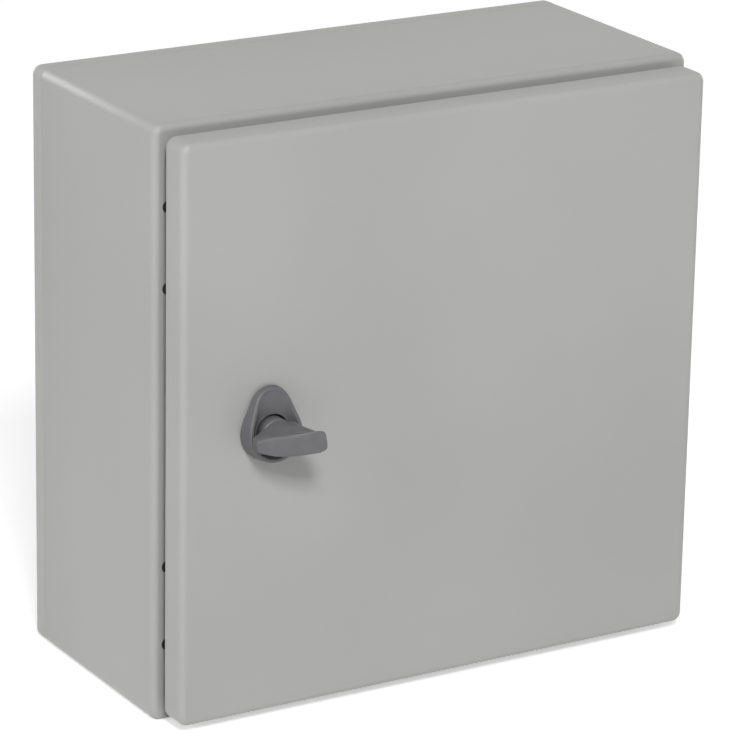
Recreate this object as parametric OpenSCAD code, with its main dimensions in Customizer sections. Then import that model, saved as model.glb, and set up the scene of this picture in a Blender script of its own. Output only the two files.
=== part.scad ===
// Steel wall enclosure: a folded body with a hinged door and a quarter-turn wing lock.
//
// Frame: origin at the middle of the wall face, X to the right, +Y into the wall, +Z up.
// Every piece is drawn as seen from the front: X to the right, Y up, and Z as the distance
// from the wall. facing() then stands the drawing up in the frame.

/* [Body] */
// Outside width of the body
body_w = 300; // [260:5:600]
// Outside height of the body
body_h = 300; // [260:5:600]
// Distance from the wall to the front flange
body_d = 128; // [100:1:300]
// Thickness of the body sheet
body_sheet = 1.5; // [1:0.1:2]
// Outside radius of the body's corners, seen from the front
body_corner_r = 5; // [4.6:0.2:8]
// Outside radius of the bend from the sides into the front flange
body_front_bend = 3.5; // [2.5:0.1:4]
// Outside radius of the bend from the sides into the back
body_back_bend = 4.2; // [2.5:0.1:4.4]
// Width of the front flange, from the side to the outside of the sealing lip
flange_w = 21; // [19:0.5:30]
// How far the sealing lip stands in front of the flange
lip_d = 12; // [8:0.5:13]
// Outside corner radius of the sealing lip
lip_corner_r = 6; // [4:0.5:12]
// Depth of the turned edge of the back panel
back_rim_d = 12; // [8:0.5:20]

/* [Wall holes] */
// Distance between the wall holes, across
wall_hole_w = 250; // [200:5:520]
// Distance between the wall holes, up and down
wall_hole_h = 250; // [200:5:520]
// Diameter of a wall hole
wall_hole_dia = 9; // [5:0.5:12]

/* [Door] */
// Gap between the front flange and the door's edge
door_gap = 6; // [4.5:0.5:8]
// Depth of the door, from its edge to its face
door_d = 16; // [15:0.5:24]
// Thickness of the door sheet
door_sheet = 1.5; // [1:0.1:2]
// How far the door's sides lie inside the body's sides
door_inset_x = 3.5; // [2.5:0.1:5]
// How far the door's top and bottom lie inside the body's
door_inset_z = 4.4; // [1:0.1:8]
// Outside corner radius of the door, seen from the front
door_corner_r = 5; // [4.6:0.2:8]
// Outside radius of the bend round the door's face
door_bend = 3.5; // [2.5:0.1:4]
// Width of the foamed gasket
gasket_w = 10; // [6:0.5:10.5]
// Gap between the gasket and the sealing lip with the door shut
gasket_gap = 0.3; // [0.3:0.1:1]

/* [Hinges] */
// Distance between the middles of the two hinges
hinge_pitch = 180; // [110:5:480]
// Distance between the two screws of a hinge
hinge_screw_pitch = 40; // [36:1:60]
// Distance of the hinge screws from the body's side
hinge_screw_inset = 8; // [7.5:0.5:9]
// Distance of the hinge pin from the body's side
hinge_pin_inset = 7.5; // [7:0.1:8]
// Distance of the hinge pin in front of the flange
hinge_pin_d = 12; // [11.5:0.1:12.5]
// Diameter of the hinge pin
hinge_pin_dia = 4; // [3:0.1:4.4]
// Outside diameter of the hinge knuckles
knuckle_dia = 7.2; // [6.8:0.1:7.6]
// Height of the knuckle on the body's bracket
bracket_knuckle_h = 12; // [8:0.5:14]
// Height of each of the two knuckles on the door's leaf
leaf_knuckle_h = 7.7; // [5:0.1:8]
// Thickness of the brackets and leaves
hinge_plate_t = 2; // [1.5:0.1:2.2]
// How far the brackets and leaves reach past their outer screws
hinge_plate_end = 7; // [5:0.5:8]
// Distance between the two studs of a leaf
leaf_stud_pitch = 42; // [40:1:60]
// Length of a leaf's stud
leaf_stud_len = 9; // [7:0.5:10]
// Length of a hinge screw
hinge_screw_len = 10; // [8:0.5:12]
// Height of the head of a hinge pin
pin_head_h = 1.2; // [0.8:0.1:2]
// Diameter of the head of a hinge pin
pin_head_dia = 5.6; // [5:0.1:6]

/* [Lock] */
// Distance of the lock's axis from the door's free side
lock_inset = 46.5; // [42:0.5:50]
// Height of the lock's axis above the middle of the door
lock_z = 0; // [-80:5:80]
// Diameter of the lock barrel
barrel_dia = 22; // [20:0.5:24]
// Width of the lock barrel across its flats
barrel_flats = 20.2; // [19:0.1:21]
// Radius of the round end of the lock's drop-shaped head
head_r = 15.3; // [14:0.1:18]
// Radius of the small end of the head
head_tip_r = 10.7; // [9:0.1:12]
// Distance between the centres of the head's two ends
head_tip_offset = 11.6; // [10:0.1:16]
// Depth of the head at its round end
head_d = 8.7; // [7:0.1:12]
// Depth of the head at the top of its small end, to which its face slopes
head_thin = 3.2; // [2:0.1:6]
// Width of the rim round the recess in the head
head_rim = 1.6; // [1.2:0.1:3]
// Thickness of the head's floor behind the recess
head_floor = 4; // [3:0.1:7]
// Diameter of the knob's round hub
hub_dia = 15.6; // [12:0.2:16]
// Gap between the hub and its well in the head
hub_gap = 0.7; // [0.5:0.1:1.5]
// Distance from the front of the head to the tip of the wing
wing_reach = 23.5; // [18:0.5:30]
// Thickness of the wing
wing_t = 12; // [9:0.5:13]
// Diameter of the lock spindle
spindle_dia = 10; // [9:0.1:11]
// Width across the square ends of the spindle
spindle_square = 7; // [6:0.1:7]
// Width of the cam
cam_w = 16; // [14:0.5:20]
// Thickness of the cam
cam_t = 3; // [2:0.5:4]
// How far the locked cam reaches behind the flange
cam_grip = 13; // [8:0.5:16]
// Gap between the cam and the back of the flange
cam_gap = 2.2; // [0.6:0.1:4]
// How far the knob stands turned from its unlocked stop, in degrees
knob_turn = 10; // [0:1:30]
// Thickness of the seal under the lock's head
seal_t = 0.8; // [0.5:0.1:1.5]
// Thickness of the nut on the lock barrel
lock_nut_h = 5; // [4:0.5:6]
// Thickness of the washer on the cam
cam_washer_t = 1.2; // [0.8:0.1:1.5]
// Diameter of the screw that holds the cam
cam_screw_dia = 4; // [3:0.5:4]
// Length of the screw that holds the cam
cam_screw_len = 13; // [10:0.5:15]
// Length of the spindle's square in the knob
tenon_len = 8; // [6:0.5:9]

/* [Mounting plate] */
// Width of the mounting plate
plate_w = 248; // [200:2:540]
// Height of the mounting plate
plate_h = 248; // [200:2:540]
// Thickness of the mounting plate
plate_t = 2; // [1.5:0.1:3]
// Size of the cut-away corners of the mounting plate
plate_notch = 22; // [18:1:24]
// Distance of the plate in front of the back panel
plate_standoff = 12; // [10:0.5:40]
// Distance between the plate's studs, across
plate_stud_w = 190; // [150:5:480]
// Distance between the plate's studs, up and down
plate_stud_h = 190; // [150:5:480]

/* [Cable entry] */
// Width of the opening in the bottom
gland_open_w = 190; // [100:5:190]
// Depth of the opening in the bottom, front to back
gland_open_d = 76; // [40:2:76]
// How far the gland plate overlaps the opening all round
gland_overlap = 12; // [11:0.5:13]
// Thickness of the gland plate
gland_plate_t = 2; // [1.5:0.1:3]
// Thickness of the gasket under the gland plate
gland_gasket_t = 2; // [1:0.1:4]
// Corner radius of the opening in the bottom
gland_corner_r = 5; // [3:0.5:8]

/* [Earth studs] */
// Length of an earth stud
earth_stud_len = 16; // [12:0.5:20]
// Distance of the body's earth stud from the body's side
body_earth_inset = 25; // [22:0.5:30]
// Distance of the door's earth stud from the door's side and bottom
door_earth_inset = 34; // [32:0.5:50]

/* [Fasteners] */
// Diameter of the hinge screws and of the leaves' studs
small_thread = 4; // [3:0.5:4]
// Diameter of the gland plate's studs
gland_thread = 5; // [4:0.5:5]
// Diameter of the mounting plate's studs and the earth studs
main_thread = 6; // [5:0.5:8]
// Diameter of the holes in the free flange that take a hinge on that side
plug_hole_dia = 5; // [4:0.5:6]

/* [Hidden] */

$fn = 64;
FINE = 96;
CUT = 1;                 // how far a cut runs past the faces that it goes through
FIT = 0.02;              // gap round a pin or thread that is held fast
RUNNING = 0.05;          // gap round a pin or spindle that turns
SIDE_GAP = 0.3;          // gap between faces that slide past each other
SCREW_GAP = 0.2;         // gap round a thread in a plain hole
RGB_PAINT = [0.67, 0.67, 0.665];
RGB_ZINC = [0.78, 0.79, 0.80];
RGB_STEEL = [0.62, 0.63, 0.65];
RGB_FOAM = [0.16, 0.16, 0.17];
RGB_PLASTIC = [0.43, 0.43, 0.44];
RGB_BRASS = [0.80, 0.68, 0.38];

// Planes, as distances from the wall
back_inner_d = body_sheet;
flange_back_d = body_d - body_sheet;
lip_front_d = body_d + lip_d;
door_edge_d = body_d + door_gap;
door_front_d = door_edge_d + door_d;
door_inner_d = door_front_d - door_sheet;
pin_d = body_d + hinge_pin_d;

// The door and the sealing lip
door_w = body_w - 2 * door_inset_x;
door_h = body_h - 2 * door_inset_z;
lip_w = body_w - 2 * flange_w;
lip_h = body_h - 2 * flange_w;
aperture_w = lip_w - 2 * body_sheet;
aperture_h = lip_h - 2 * body_sheet;
gasket_t = door_inner_d - lip_front_d - gasket_gap;

// Hinges
pin_x = body_w / 2 - hinge_pin_inset;
screw_x = body_w / 2 - hinge_screw_inset;
web_w = hinge_pin_dia;
leaf_knuckle_z = bracket_knuckle_h / 2 + SIDE_GAP;
knuckles_top = leaf_knuckle_z + leaf_knuckle_h;
pin_spare = 0.8;         // pin that stands out of the lower knuckle, and room past its head
notch_h = 2 * (knuckles_top + SIDE_GAP + pin_head_h + pin_spare);
notch_depth = door_sheet + 0.6;
hinge_plate_h = hinge_screw_pitch + 2 * hinge_plate_end;
lip_clear = 5;           // from the sealing lip to a hinge bracket
bracket_edge = 2.5;      // from the body's side to a hinge bracket
bracket_x = body_w / 2 - flange_w + lip_clear;
bracket_right = body_w / 2 - bracket_edge;
leaf_clear = 0.6;        // from the gasket to a hinge leaf
leaf_left = (lip_w - body_sheet) / 2 + gasket_w / 2 + leaf_clear;
leaf_right = door_w / 2 - door_bend;
leaf_stud_x = (leaf_left + leaf_right) / 2;
plug_head = 0.7;         // overhang and height of a plug's head

// Nuts and washers, in sizes that go with their threads
function nut_flats(thread) = 1.65 * thread + 0.2;
function nut_height(thread) = 0.8 * thread;
function washer_r(thread) = thread;
function washer_t(thread) = 0.25 * thread;

// Mounting plate, gland plate and earth studs
plate_back_d = back_inner_d + plate_standoff;
plate_front_d = plate_back_d + plate_t;
stud_spare = 3;          // thread that stands out of a tightened nut
nut_foot_t = 1;          // thickness of a gland nut's round foot
nut_foot_over = 1.2;     // how far that foot stands out past the flats
gland_mid_d = (back_inner_d + flange_back_d) / 2;
gland_edge = gland_overlap / 2;
floor_z = -body_h / 2 + body_sheet;
body_earth_x = body_w / 2 - body_earth_inset;

// Lock
lock_x = -door_w / 2 + lock_inset;
head_back_d = door_front_d + seal_t;
head_front_d = head_back_d + head_d;
recess_d = head_back_d + head_floor;
barrel_back_d = flange_back_d + 1;
hub_back_d = door_front_d + 0.2;
well_back_d = door_front_d - 0.3;
wing_tip_d = head_front_d + wing_reach;
wing_gap = 0.5;          // from the front of the head to the foot of the wing
wing_half = head_r - 1.1;
slope_start = 2;         // from the lock's axis up to where the head's face starts to slope
lock_nut_flats = barrel_dia + 5;
cam_front_d = flange_back_d - cam_gap;
cam_back_d = cam_front_d - cam_t;
cam_len = aperture_w / 2 + lock_x + cam_grip;
ring_d = door_front_d - 4;
ring_r = 0.8;

// ---- shared shapes ----

// Stands a drawing up: its Y becomes the height and its Z the distance from the wall.
module facing() {
    rotate([90, 0, 0]) children();
}

// Rectangle with round corners, centred.
module rounded_rect(w, h, r) {
    square([w - 2 * r, h], center = true);
    square([w, h - 2 * r], center = true);
    for (sx = [-1, 1], sy = [-1, 1])
        translate([sx * (w / 2 - r), sy * (h / 2 - r)]) circle(r = r);
}

// Block with round corners and a round rim at its top face, standing on Z = 0.
module rimmed_block(w, h, d, corner, bend) {
    linear_extrude(d - bend) rounded_rect(w, h, corner);
    linear_extrude(d) rounded_rect(w - 2 * bend, h - 2 * bend, corner - bend);
    for (sx = [-1, 1], sy = [-1, 1])
        translate([sx * (w / 2 - corner), sy * (h / 2 - corner), d - bend])
            rotate_extrude() {
                square([corner - bend, bend]);
                translate([corner - bend, 0]) intersection() {
                    circle(r = bend);
                    square(bend);
                }
            }
    for (sx = [-1, 1])
        translate([sx * (w / 2 - bend), 0, d - bend])
            rotate([90, 0, 0]) cylinder(r = bend, h = h - 2 * corner, center = true);
    for (sy = [-1, 1])
        translate([0, sy * (h / 2 - bend), d - bend])
            rotate([0, 90, 0]) cylinder(r = bend, h = w - 2 * corner, center = true);
}

// Folded sheet tray: a flat face at the top, turned down all round and open below.
module folded_tray(w, h, d, sheet, corner, bend) {
    difference() {
        rimmed_block(w, h, d, corner, bend);
        translate([0, 0, -CUT])
            rimmed_block(w - 2 * sheet, h - 2 * sheet, d - sheet + CUT, corner - sheet, bend - sheet);
    }
}

// Flat ring between two rectangles with round corners.
module frame_ring(w, h, r, wall, t) {
    linear_extrude(t) difference() {
        rounded_rect(w, h, r);
        rounded_rect(w - 2 * wall, h - 2 * wall, r - wall);
    }
}

// Hexagon nut standing on Z = 0.
module hex_nut(flats, h, bore) {
    difference() {
        cylinder(d = flats / cos(30), h = h, $fn = 6);
        translate([0, 0, -CUT]) cylinder(d = bore, h = h + 2 * CUT);
    }
}

// Plain washer standing on Z = 0.
module washer(thread) {
    difference() {
        cylinder(r = washer_r(thread), h = washer_t(thread));
        translate([0, 0, -CUT])
            cylinder(d = thread + 2 * SCREW_GAP, h = washer_t(thread) + 2 * CUT);
    }
}

// Places a child at the four points of a centred rectangle.
module at_four(w, h) {
    for (sx = [-1, 1], sy = [-1, 1])
        translate([sx * w / 2, sy * h / 2, 0]) children();
}

// Places a child at each screw of the hinge side, or at the same points of the free side.
module at_hinge_screws(side) {
    for (hinge = [-1, 1], end = [-1, 1])
        translate([side * screw_x, (hinge * hinge_pitch + end * hinge_screw_pitch) / 2, 0])
            children();
}

// Places a child at each stud of the gland plate, in the plane of the floor: Y goes to the back.
module at_gland_studs() {
    for (sx = [-1, 0, 1], sy = [-1, 1])
        translate([sx * (gland_open_w / 2 + gland_edge), sy * (gland_open_d / 2 + gland_edge), 0])
            children();
}

// Lays a drawing on the floor of the body, with its own Z upwards from the inner face.
module on_floor() {
    translate([0, -gland_mid_d, floor_z]) children();
}

// ---- body ----

module body_shell() {
    color(RGB_PAINT) facing() difference() {
        union() {
            folded_tray(body_w, body_h, body_d, body_sheet, body_corner_r, body_front_bend);
            translate([0, 0, body_d - body_sheet])
                frame_ring(lip_w, lip_h, lip_corner_r, body_sheet, lip_d + body_sheet);
        }
        translate([0, 0, body_d - 2 * body_sheet])
            linear_extrude(3 * body_sheet)
                rounded_rect(aperture_w, aperture_h, lip_corner_r - body_sheet);
        translate([0, 0, back_rim_d / 2])
            cube([body_w + 2 * CUT, body_h + 2 * CUT, back_rim_d], center = true);
        translate([0, floor_z + CUT, gland_mid_d])
            rotate([90, 0, 0])
                linear_extrude(body_sheet + 2 * CUT)
                    rounded_rect(gland_open_w, gland_open_d, gland_corner_r);
        translate([0, 0, flange_back_d - CUT]) {
            at_hinge_screws(1) cylinder(d = small_thread + 2 * SCREW_GAP, h = body_sheet + 2 * CUT);
            at_hinge_screws(-1) cylinder(d = plug_hole_dia, h = body_sheet + 2 * CUT);
        }
    }
}

module back_panel() {
    color(RGB_PAINT) facing() difference() {
        translate([0, 0, back_rim_d]) mirror([0, 0, 1])
            folded_tray(body_w, body_h, back_rim_d, body_sheet, body_corner_r, body_back_bend);
        translate([0, 0, -CUT]) at_four(wall_hole_w, wall_hole_h)
            cylinder(d = wall_hole_dia, h = body_sheet + 2 * CUT);
    }
}

module mounting_plate() {
    color(RGB_ZINC) facing() translate([0, 0, plate_back_d]) difference() {
        linear_extrude(plate_t) difference() {
            square([plate_w, plate_h], center = true);
            for (sx = [-1, 1], sy = [-1, 1])
                translate([sx * plate_w / 2, sy * plate_h / 2])
                    square(2 * plate_notch, center = true);
        }
        translate([0, 0, -CUT]) at_four(plate_stud_w, plate_stud_h)
            cylinder(d = main_thread + 2 * SCREW_GAP, h = plate_t + 2 * CUT);
    }
}

module plate_studs() {
    stud_top = plate_t + washer_t(main_thread) + nut_height(main_thread) + stud_spare;
    color(RGB_STEEL) facing() translate([0, 0, back_inner_d]) at_four(plate_stud_w, plate_stud_h) {
        cylinder(d = 2 * main_thread, h = plate_standoff);
        cylinder(d = main_thread, h = plate_standoff + stud_top);
    }
}

module plate_washers() {
    color(RGB_ZINC) facing() translate([0, 0, plate_front_d])
        at_four(plate_stud_w, plate_stud_h) washer(main_thread);
}

module plate_nuts() {
    color(RGB_ZINC) facing() translate([0, 0, plate_front_d + washer_t(main_thread)])
        at_four(plate_stud_w, plate_stud_h)
            hex_nut(nut_flats(main_thread), nut_height(main_thread), main_thread + 2 * FIT);
}

module gland_outline() {
    rounded_rect(gland_open_w + 2 * gland_overlap, gland_open_d + 2 * gland_overlap, gland_corner_r);
}

module gland_gasket() {
    color(RGB_FOAM) on_floor() difference() {
        linear_extrude(gland_gasket_t) difference() {
            gland_outline();
            rounded_rect(gland_open_w, gland_open_d, gland_corner_r);
        }
        translate([0, 0, -CUT]) at_gland_studs()
            cylinder(d = gland_thread + 2 * SCREW_GAP, h = gland_gasket_t + 2 * CUT);
    }
}

module gland_plate() {
    color(RGB_PAINT) on_floor() translate([0, 0, gland_gasket_t]) difference() {
        linear_extrude(gland_plate_t) gland_outline();
        translate([0, 0, -CUT]) at_gland_studs()
            cylinder(d = gland_thread + 2 * SCREW_GAP, h = gland_plate_t + 2 * CUT);
    }
}

module gland_studs() {
    stud_len = gland_gasket_t + gland_plate_t + nut_height(gland_thread) + nut_foot_t + stud_spare;
    color(RGB_STEEL) on_floor() at_gland_studs() cylinder(d = gland_thread, h = stud_len);
}

module gland_nuts() {
    color(RGB_ZINC) on_floor() translate([0, 0, gland_gasket_t + gland_plate_t]) at_gland_studs() {
        hex_nut(nut_flats(gland_thread), nut_height(gland_thread) + nut_foot_t, gland_thread + 2 * FIT);
        difference() {
            cylinder(d = nut_flats(gland_thread) + 2 * nut_foot_over, h = nut_foot_t);
            translate([0, 0, -CUT]) cylinder(d = gland_thread + 2 * FIT, h = nut_foot_t + 2 * CUT);
        }
    }
}

// ---- earth studs ----

module earth_stud() {
    cylinder(d = main_thread, h = earth_stud_len);
}

module earth_nut() {
    translate([0, 0, washer_t(main_thread)])
        hex_nut(nut_flats(main_thread), nut_height(main_thread), main_thread + 2 * FIT);
}

module at_body_earth() {
    on_floor() translate([body_earth_x, 0, 0]) children();
}

module at_door_earth() {
    facing() translate([door_w / 2 - door_earth_inset, -door_h / 2 + door_earth_inset, door_inner_d])
        mirror([0, 0, 1]) children();
}

module body_earth_stud() {
    color(RGB_BRASS) at_body_earth() earth_stud();
}

module body_earth_washer() {
    color(RGB_BRASS) at_body_earth() washer(main_thread);
}

module body_earth_nut() {
    color(RGB_BRASS) at_body_earth() earth_nut();
}

module door_earth_stud() {
    color(RGB_BRASS) at_door_earth() earth_stud();
}

module door_earth_washer() {
    color(RGB_BRASS) at_door_earth() washer(main_thread);
}

module door_earth_nut() {
    color(RGB_BRASS) at_door_earth() earth_nut();
}

// ---- hinges ----

// Upright cylinder of height h round the hinge axis, from y0 upwards.
module on_hinge_axis(dia, y0, h) {
    translate([pin_x, y0, pin_d]) rotate([-90, 0, 0]) cylinder(d = dia, h = h);
}

module hinge_bracket(mid) {
    color(RGB_ZINC) facing() translate([0, mid, 0]) difference() {
        union() {
            translate([bracket_x, -hinge_plate_h / 2, body_d])
                cube([bracket_right - bracket_x, hinge_plate_h, hinge_plate_t]);
            translate([pin_x - web_w / 2, -bracket_knuckle_h / 2, body_d])
                cube([web_w, bracket_knuckle_h, hinge_pin_d]);
            on_hinge_axis(knuckle_dia, -bracket_knuckle_h / 2, bracket_knuckle_h);
        }
        on_hinge_axis(hinge_pin_dia + 2 * FIT, -bracket_knuckle_h / 2 - CUT, bracket_knuckle_h + 2 * CUT);
        for (end = [-1, 1])
            translate([screw_x, end * hinge_screw_pitch / 2, body_d]) {
                translate([0, 0, -CUT])
                    cylinder(d = small_thread + 2 * SCREW_GAP, h = hinge_plate_t + 2 * CUT);
                cylinder(d1 = small_thread + 2 * SCREW_GAP, d2 = 2 * small_thread, h = hinge_plate_t);
            }
    }
}

module hinge_bracket_upper() {
    hinge_bracket(hinge_pitch / 2);
}

module hinge_bracket_lower() {
    hinge_bracket(-hinge_pitch / 2);
}

module hinge_screws() {
    color(RGB_ZINC) facing() translate([0, 0, body_d + hinge_plate_t]) at_hinge_screws(1) {
        translate([0, 0, -hinge_screw_len]) cylinder(d = small_thread, h = hinge_screw_len);
        translate([0, 0, -hinge_plate_t])
            cylinder(d1 = small_thread, d2 = 2 * (small_thread - SCREW_GAP), h = hinge_plate_t);
    }
}

module hinge_nuts() {
    color(RGB_ZINC) facing() translate([0, 0, flange_back_d - nut_height(small_thread)]) at_hinge_screws(1)
        hex_nut(nut_flats(small_thread), nut_height(small_thread), small_thread + 2 * FIT);
}

module hinge_pin(mid) {
    color(RGB_STEEL) facing() translate([0, mid, 0]) {
        on_hinge_axis(hinge_pin_dia, -knuckles_top - pin_spare, 2 * knuckles_top + pin_spare + SIDE_GAP);
        on_hinge_axis(pin_head_dia, knuckles_top + SIDE_GAP, pin_head_h);
    }
}

module hinge_pin_upper() {
    hinge_pin(hinge_pitch / 2);
}

module hinge_pin_lower() {
    hinge_pin(-hinge_pitch / 2);
}

module hinge_leaf(mid) {
    color(RGB_ZINC) facing() translate([0, mid, 0]) difference() {
        union() {
            translate([leaf_left, -hinge_plate_h / 2, door_inner_d - hinge_plate_t])
                cube([leaf_right - leaf_left, hinge_plate_h, hinge_plate_t]);
            for (y0 = [leaf_knuckle_z, -knuckles_top]) {
                translate([pin_x - knuckle_dia / 2, y0, pin_d])
                    cube([leaf_right - pin_x + knuckle_dia / 2, leaf_knuckle_h, door_inner_d - pin_d]);
                on_hinge_axis(knuckle_dia, y0, leaf_knuckle_h);
            }
        }
        on_hinge_axis(hinge_pin_dia + 2 * RUNNING, -knuckles_top - CUT, 2 * (knuckles_top + CUT));
        for (end = [-1, 1])
            translate([leaf_stud_x, end * leaf_stud_pitch / 2, door_inner_d - hinge_plate_t - CUT])
                cylinder(d = small_thread + 2 * SCREW_GAP, h = hinge_plate_t + 2 * CUT);
    }
}

module hinge_leaf_upper() {
    hinge_leaf(hinge_pitch / 2);
}

module hinge_leaf_lower() {
    hinge_leaf(-hinge_pitch / 2);
}

// Places a child at each stud of the hinge leaves, on the door's inner face and pointing back.
module at_leaf_studs() {
    for (hinge = [-1, 1], end = [-1, 1])
        translate([leaf_stud_x, (hinge * hinge_pitch + end * leaf_stud_pitch) / 2, door_inner_d])
            mirror([0, 0, 1]) children();
}

module leaf_studs() {
    color(RGB_STEEL) facing() at_leaf_studs() cylinder(d = small_thread, h = leaf_stud_len);
}

module leaf_nuts() {
    color(RGB_ZINC) facing() at_leaf_studs() translate([0, 0, hinge_plate_t])
        hex_nut(nut_flats(small_thread), nut_height(small_thread), small_thread + 2 * FIT);
}

module flange_plugs() {
    color(RGB_FOAM) facing() at_hinge_screws(-1) {
        translate([0, 0, flange_back_d - CUT]) cylinder(d = plug_hole_dia - 2 * FIT, h = body_sheet + CUT);
        translate([0, 0, body_d]) cylinder(d = plug_hole_dia + 2 * plug_head, h = plug_head);
    }
}

// ---- door ----

module door_shell() {
    color(RGB_PAINT) facing() difference() {
        translate([0, 0, door_edge_d])
            folded_tray(door_w, door_h, door_d, door_sheet, door_corner_r, door_bend);
        for (hinge = [-1, 1])
            translate([door_w / 2 - notch_depth, (hinge * hinge_pitch - notch_h) / 2, door_edge_d - CUT])
                cube([notch_depth + CUT, notch_h, door_d - door_bend + CUT]);
        translate([lock_x, lock_z, door_inner_d - CUT])
            linear_extrude(door_sheet + 2 * CUT) flatted_round(SCREW_GAP);
    }
}

module door_gasket() {
    mid_w = lip_w - body_sheet;
    mid_h = lip_h - body_sheet;
    color(RGB_FOAM) facing() translate([0, 0, door_inner_d - gasket_t])
        frame_ring(mid_w + gasket_w, mid_h + gasket_w, lip_corner_r + gasket_w / 2, gasket_w, gasket_t);
}

// ---- lock ----

// Round bar with two flat sides, as the barrel and its hole in the door have.
module flatted_round(grow) {
    intersection() {
        circle(d = barrel_dia + 2 * grow);
        square([barrel_flats + 2 * grow, barrel_dia + 2 * grow + CUT], center = true);
    }
}

// Drop shape: a large and a small circle with their two common tangents.
module drop_shape(grow) {
    big = head_r + grow;
    small = head_tip_r + grow;
    lean = asin((big - small) / head_tip_offset);
    circle(r = big, $fn = FINE);
    translate([0, head_tip_offset]) circle(r = small, $fn = FINE);
    polygon([
        [big * cos(lean), big * sin(lean)],
        [small * cos(lean), head_tip_offset + small * sin(lean)],
        [-small * cos(lean), head_tip_offset + small * sin(lean)],
        [-big * cos(lean), big * sin(lean)]
    ]);
}

// Moves a drawing to the lock's axis.
module at_lock() {
    facing() translate([lock_x, lock_z, 0]) children();
}

// Moves a drawing to the lock's axis and turns it as the knob stands.
module at_knob() {
    at_lock() rotate([0, 0, knob_turn]) children();
}

module lock_seal() {
    color(RGB_FOAM) at_lock() translate([0, 0, door_front_d]) linear_extrude(seal_t) difference() {
        drop_shape(-1);
        flatted_round(SCREW_GAP);
    }
}

// What lies in front of the head's sloping face.
module above_slope() {
    rise = head_tip_offset + head_tip_r - slope_start;
    slope = atan((head_d - head_thin) / rise);
    translate([-2 * head_r, slope_start, head_front_d]) rotate([-slope, 0, 0])
        cube([4 * head_r, 2 * rise, 2 * head_d]);
}

module lock_housing() {
    color(RGB_PLASTIC) at_lock() difference() {
        union() {
            translate([0, 0, head_back_d]) linear_extrude(head_d) drop_shape(0);
            translate([0, 0, barrel_back_d]) linear_extrude(head_back_d - barrel_back_d) flatted_round(0);
        }
        above_slope();
        translate([0, 0, recess_d]) linear_extrude(head_d) drop_shape(-head_rim);
        translate([0, 0, well_back_d]) cylinder(d = hub_dia + 2 * hub_gap, h = head_d, $fn = FINE);
        translate([0, 0, barrel_back_d - CUT]) cylinder(d = spindle_dia + 2 * RUNNING, h = head_d + body_d);
    }
}

module lock_nut() {
    color(RGB_ZINC) at_lock() translate([0, 0, door_inner_d - lock_nut_h])
        hex_nut(lock_nut_flats, lock_nut_h, barrel_dia + 2 * FIT);
}

// Side view of the wing, as X and distance from the wall: a convex back that rises from the
// head's rim to the tip, and a hollow side under the tip.
module wing_outline() {
    wing_foot_d = head_front_d + wing_gap;
    waist = 3.7;
    arc_r = 44;
    arc_x = 21.5;
    hollow_r = 28;
    hollow_x = wing_half - waist + hollow_r;
    difference() {
        intersection() {
            translate([-wing_half, wing_foot_d]) square([2 * wing_half, wing_reach - wing_gap]);
            translate([arc_x, wing_tip_d - arc_r + 0.4]) circle(r = arc_r, $fn = FINE);
        }
        translate([hollow_x, wing_foot_d + 5]) circle(r = hollow_r, $fn = FINE);
    }
}

// Front view of the wing: slimmer at the foot and chamfered at the tip.
module wing_front() {
    half = wing_t / 2;
    end = wing_half + CUT;
    polygon([
        [-end, -half + 1.5], [-end + 6, -half], [end - 4, -half], [end, -half + 2],
        [end, half - 2], [end - 4, half], [-end + 6, half], [-end, half - 1.5]
    ]);
}

module wing_knob() {
    color(RGB_PLASTIC) at_knob() difference() {
        union() {
            intersection() {
                translate([0, wing_t / 2 + CUT, 0]) rotate([90, 0, 0])
                    linear_extrude(wing_t + 2 * CUT) wing_outline();
                linear_extrude(wing_tip_d + CUT) wing_front();
            }
            translate([0, 0, hub_back_d])
                cylinder(d = hub_dia, h = head_front_d + wing_gap - hub_back_d, $fn = FINE);
            translate([0, 0, head_front_d + wing_gap])
                cylinder(d1 = hub_dia + 2.4, d2 = wing_t - 1, h = wing_reach / 3, $fn = FINE);
        }
        translate([0, 0, hub_back_d - CUT])
            linear_extrude(tenon_len + CUT + SIDE_GAP) square(spindle_square + 2 * RUNNING, center = true);
    }
}

module lock_spindle() {
    color(RGB_ZINC) at_knob() difference() {
        union() {
            translate([0, 0, cam_front_d]) cylinder(d = spindle_dia, h = hub_back_d - cam_front_d);
            translate([0, 0, hub_back_d - CUT])
                linear_extrude(tenon_len + CUT) square(spindle_square, center = true);
            translate([0, 0, cam_back_d + 0.2])
                linear_extrude(cam_t - 0.2 + CUT) square(spindle_square, center = true);
        }
        translate([0, 0, ring_d - ring_r]) difference() {
            cylinder(d = spindle_dia + CUT, h = 2 * ring_r);
            translate([0, 0, -CUT]) cylinder(d = spindle_dia - 4 * ring_r, h = 2 * ring_r + 2 * CUT);
        }
        translate([0, 0, cam_back_d - CUT])
            cylinder(d = cam_screw_dia + 2 * FIT, h = cam_screw_len + CUT + 0.5);
    }
}

module spindle_ring() {
    color(RGB_FOAM) at_knob() translate([0, 0, ring_d])
        rotate_extrude() translate([spindle_dia / 2 - ring_r, 0]) circle(r = ring_r, $fn = 24);
}

module lock_cam() {
    end_r = 3;
    color(RGB_ZINC) at_knob() translate([0, 0, cam_back_d]) linear_extrude(cam_t) difference() {
        union() {
            circle(d = cam_w + 2);
            translate([-cam_w / 2, 0]) square([cam_w, cam_len - end_r]);
            translate([end_r - cam_w / 2, 0]) square([cam_w - 2 * end_r, cam_len]);
            for (sx = [-1, 1])
                translate([sx * (cam_w / 2 - end_r), cam_len - end_r]) circle(r = end_r);
        }
        square(spindle_square + 2 * RUNNING, center = true);
    }
}

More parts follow.
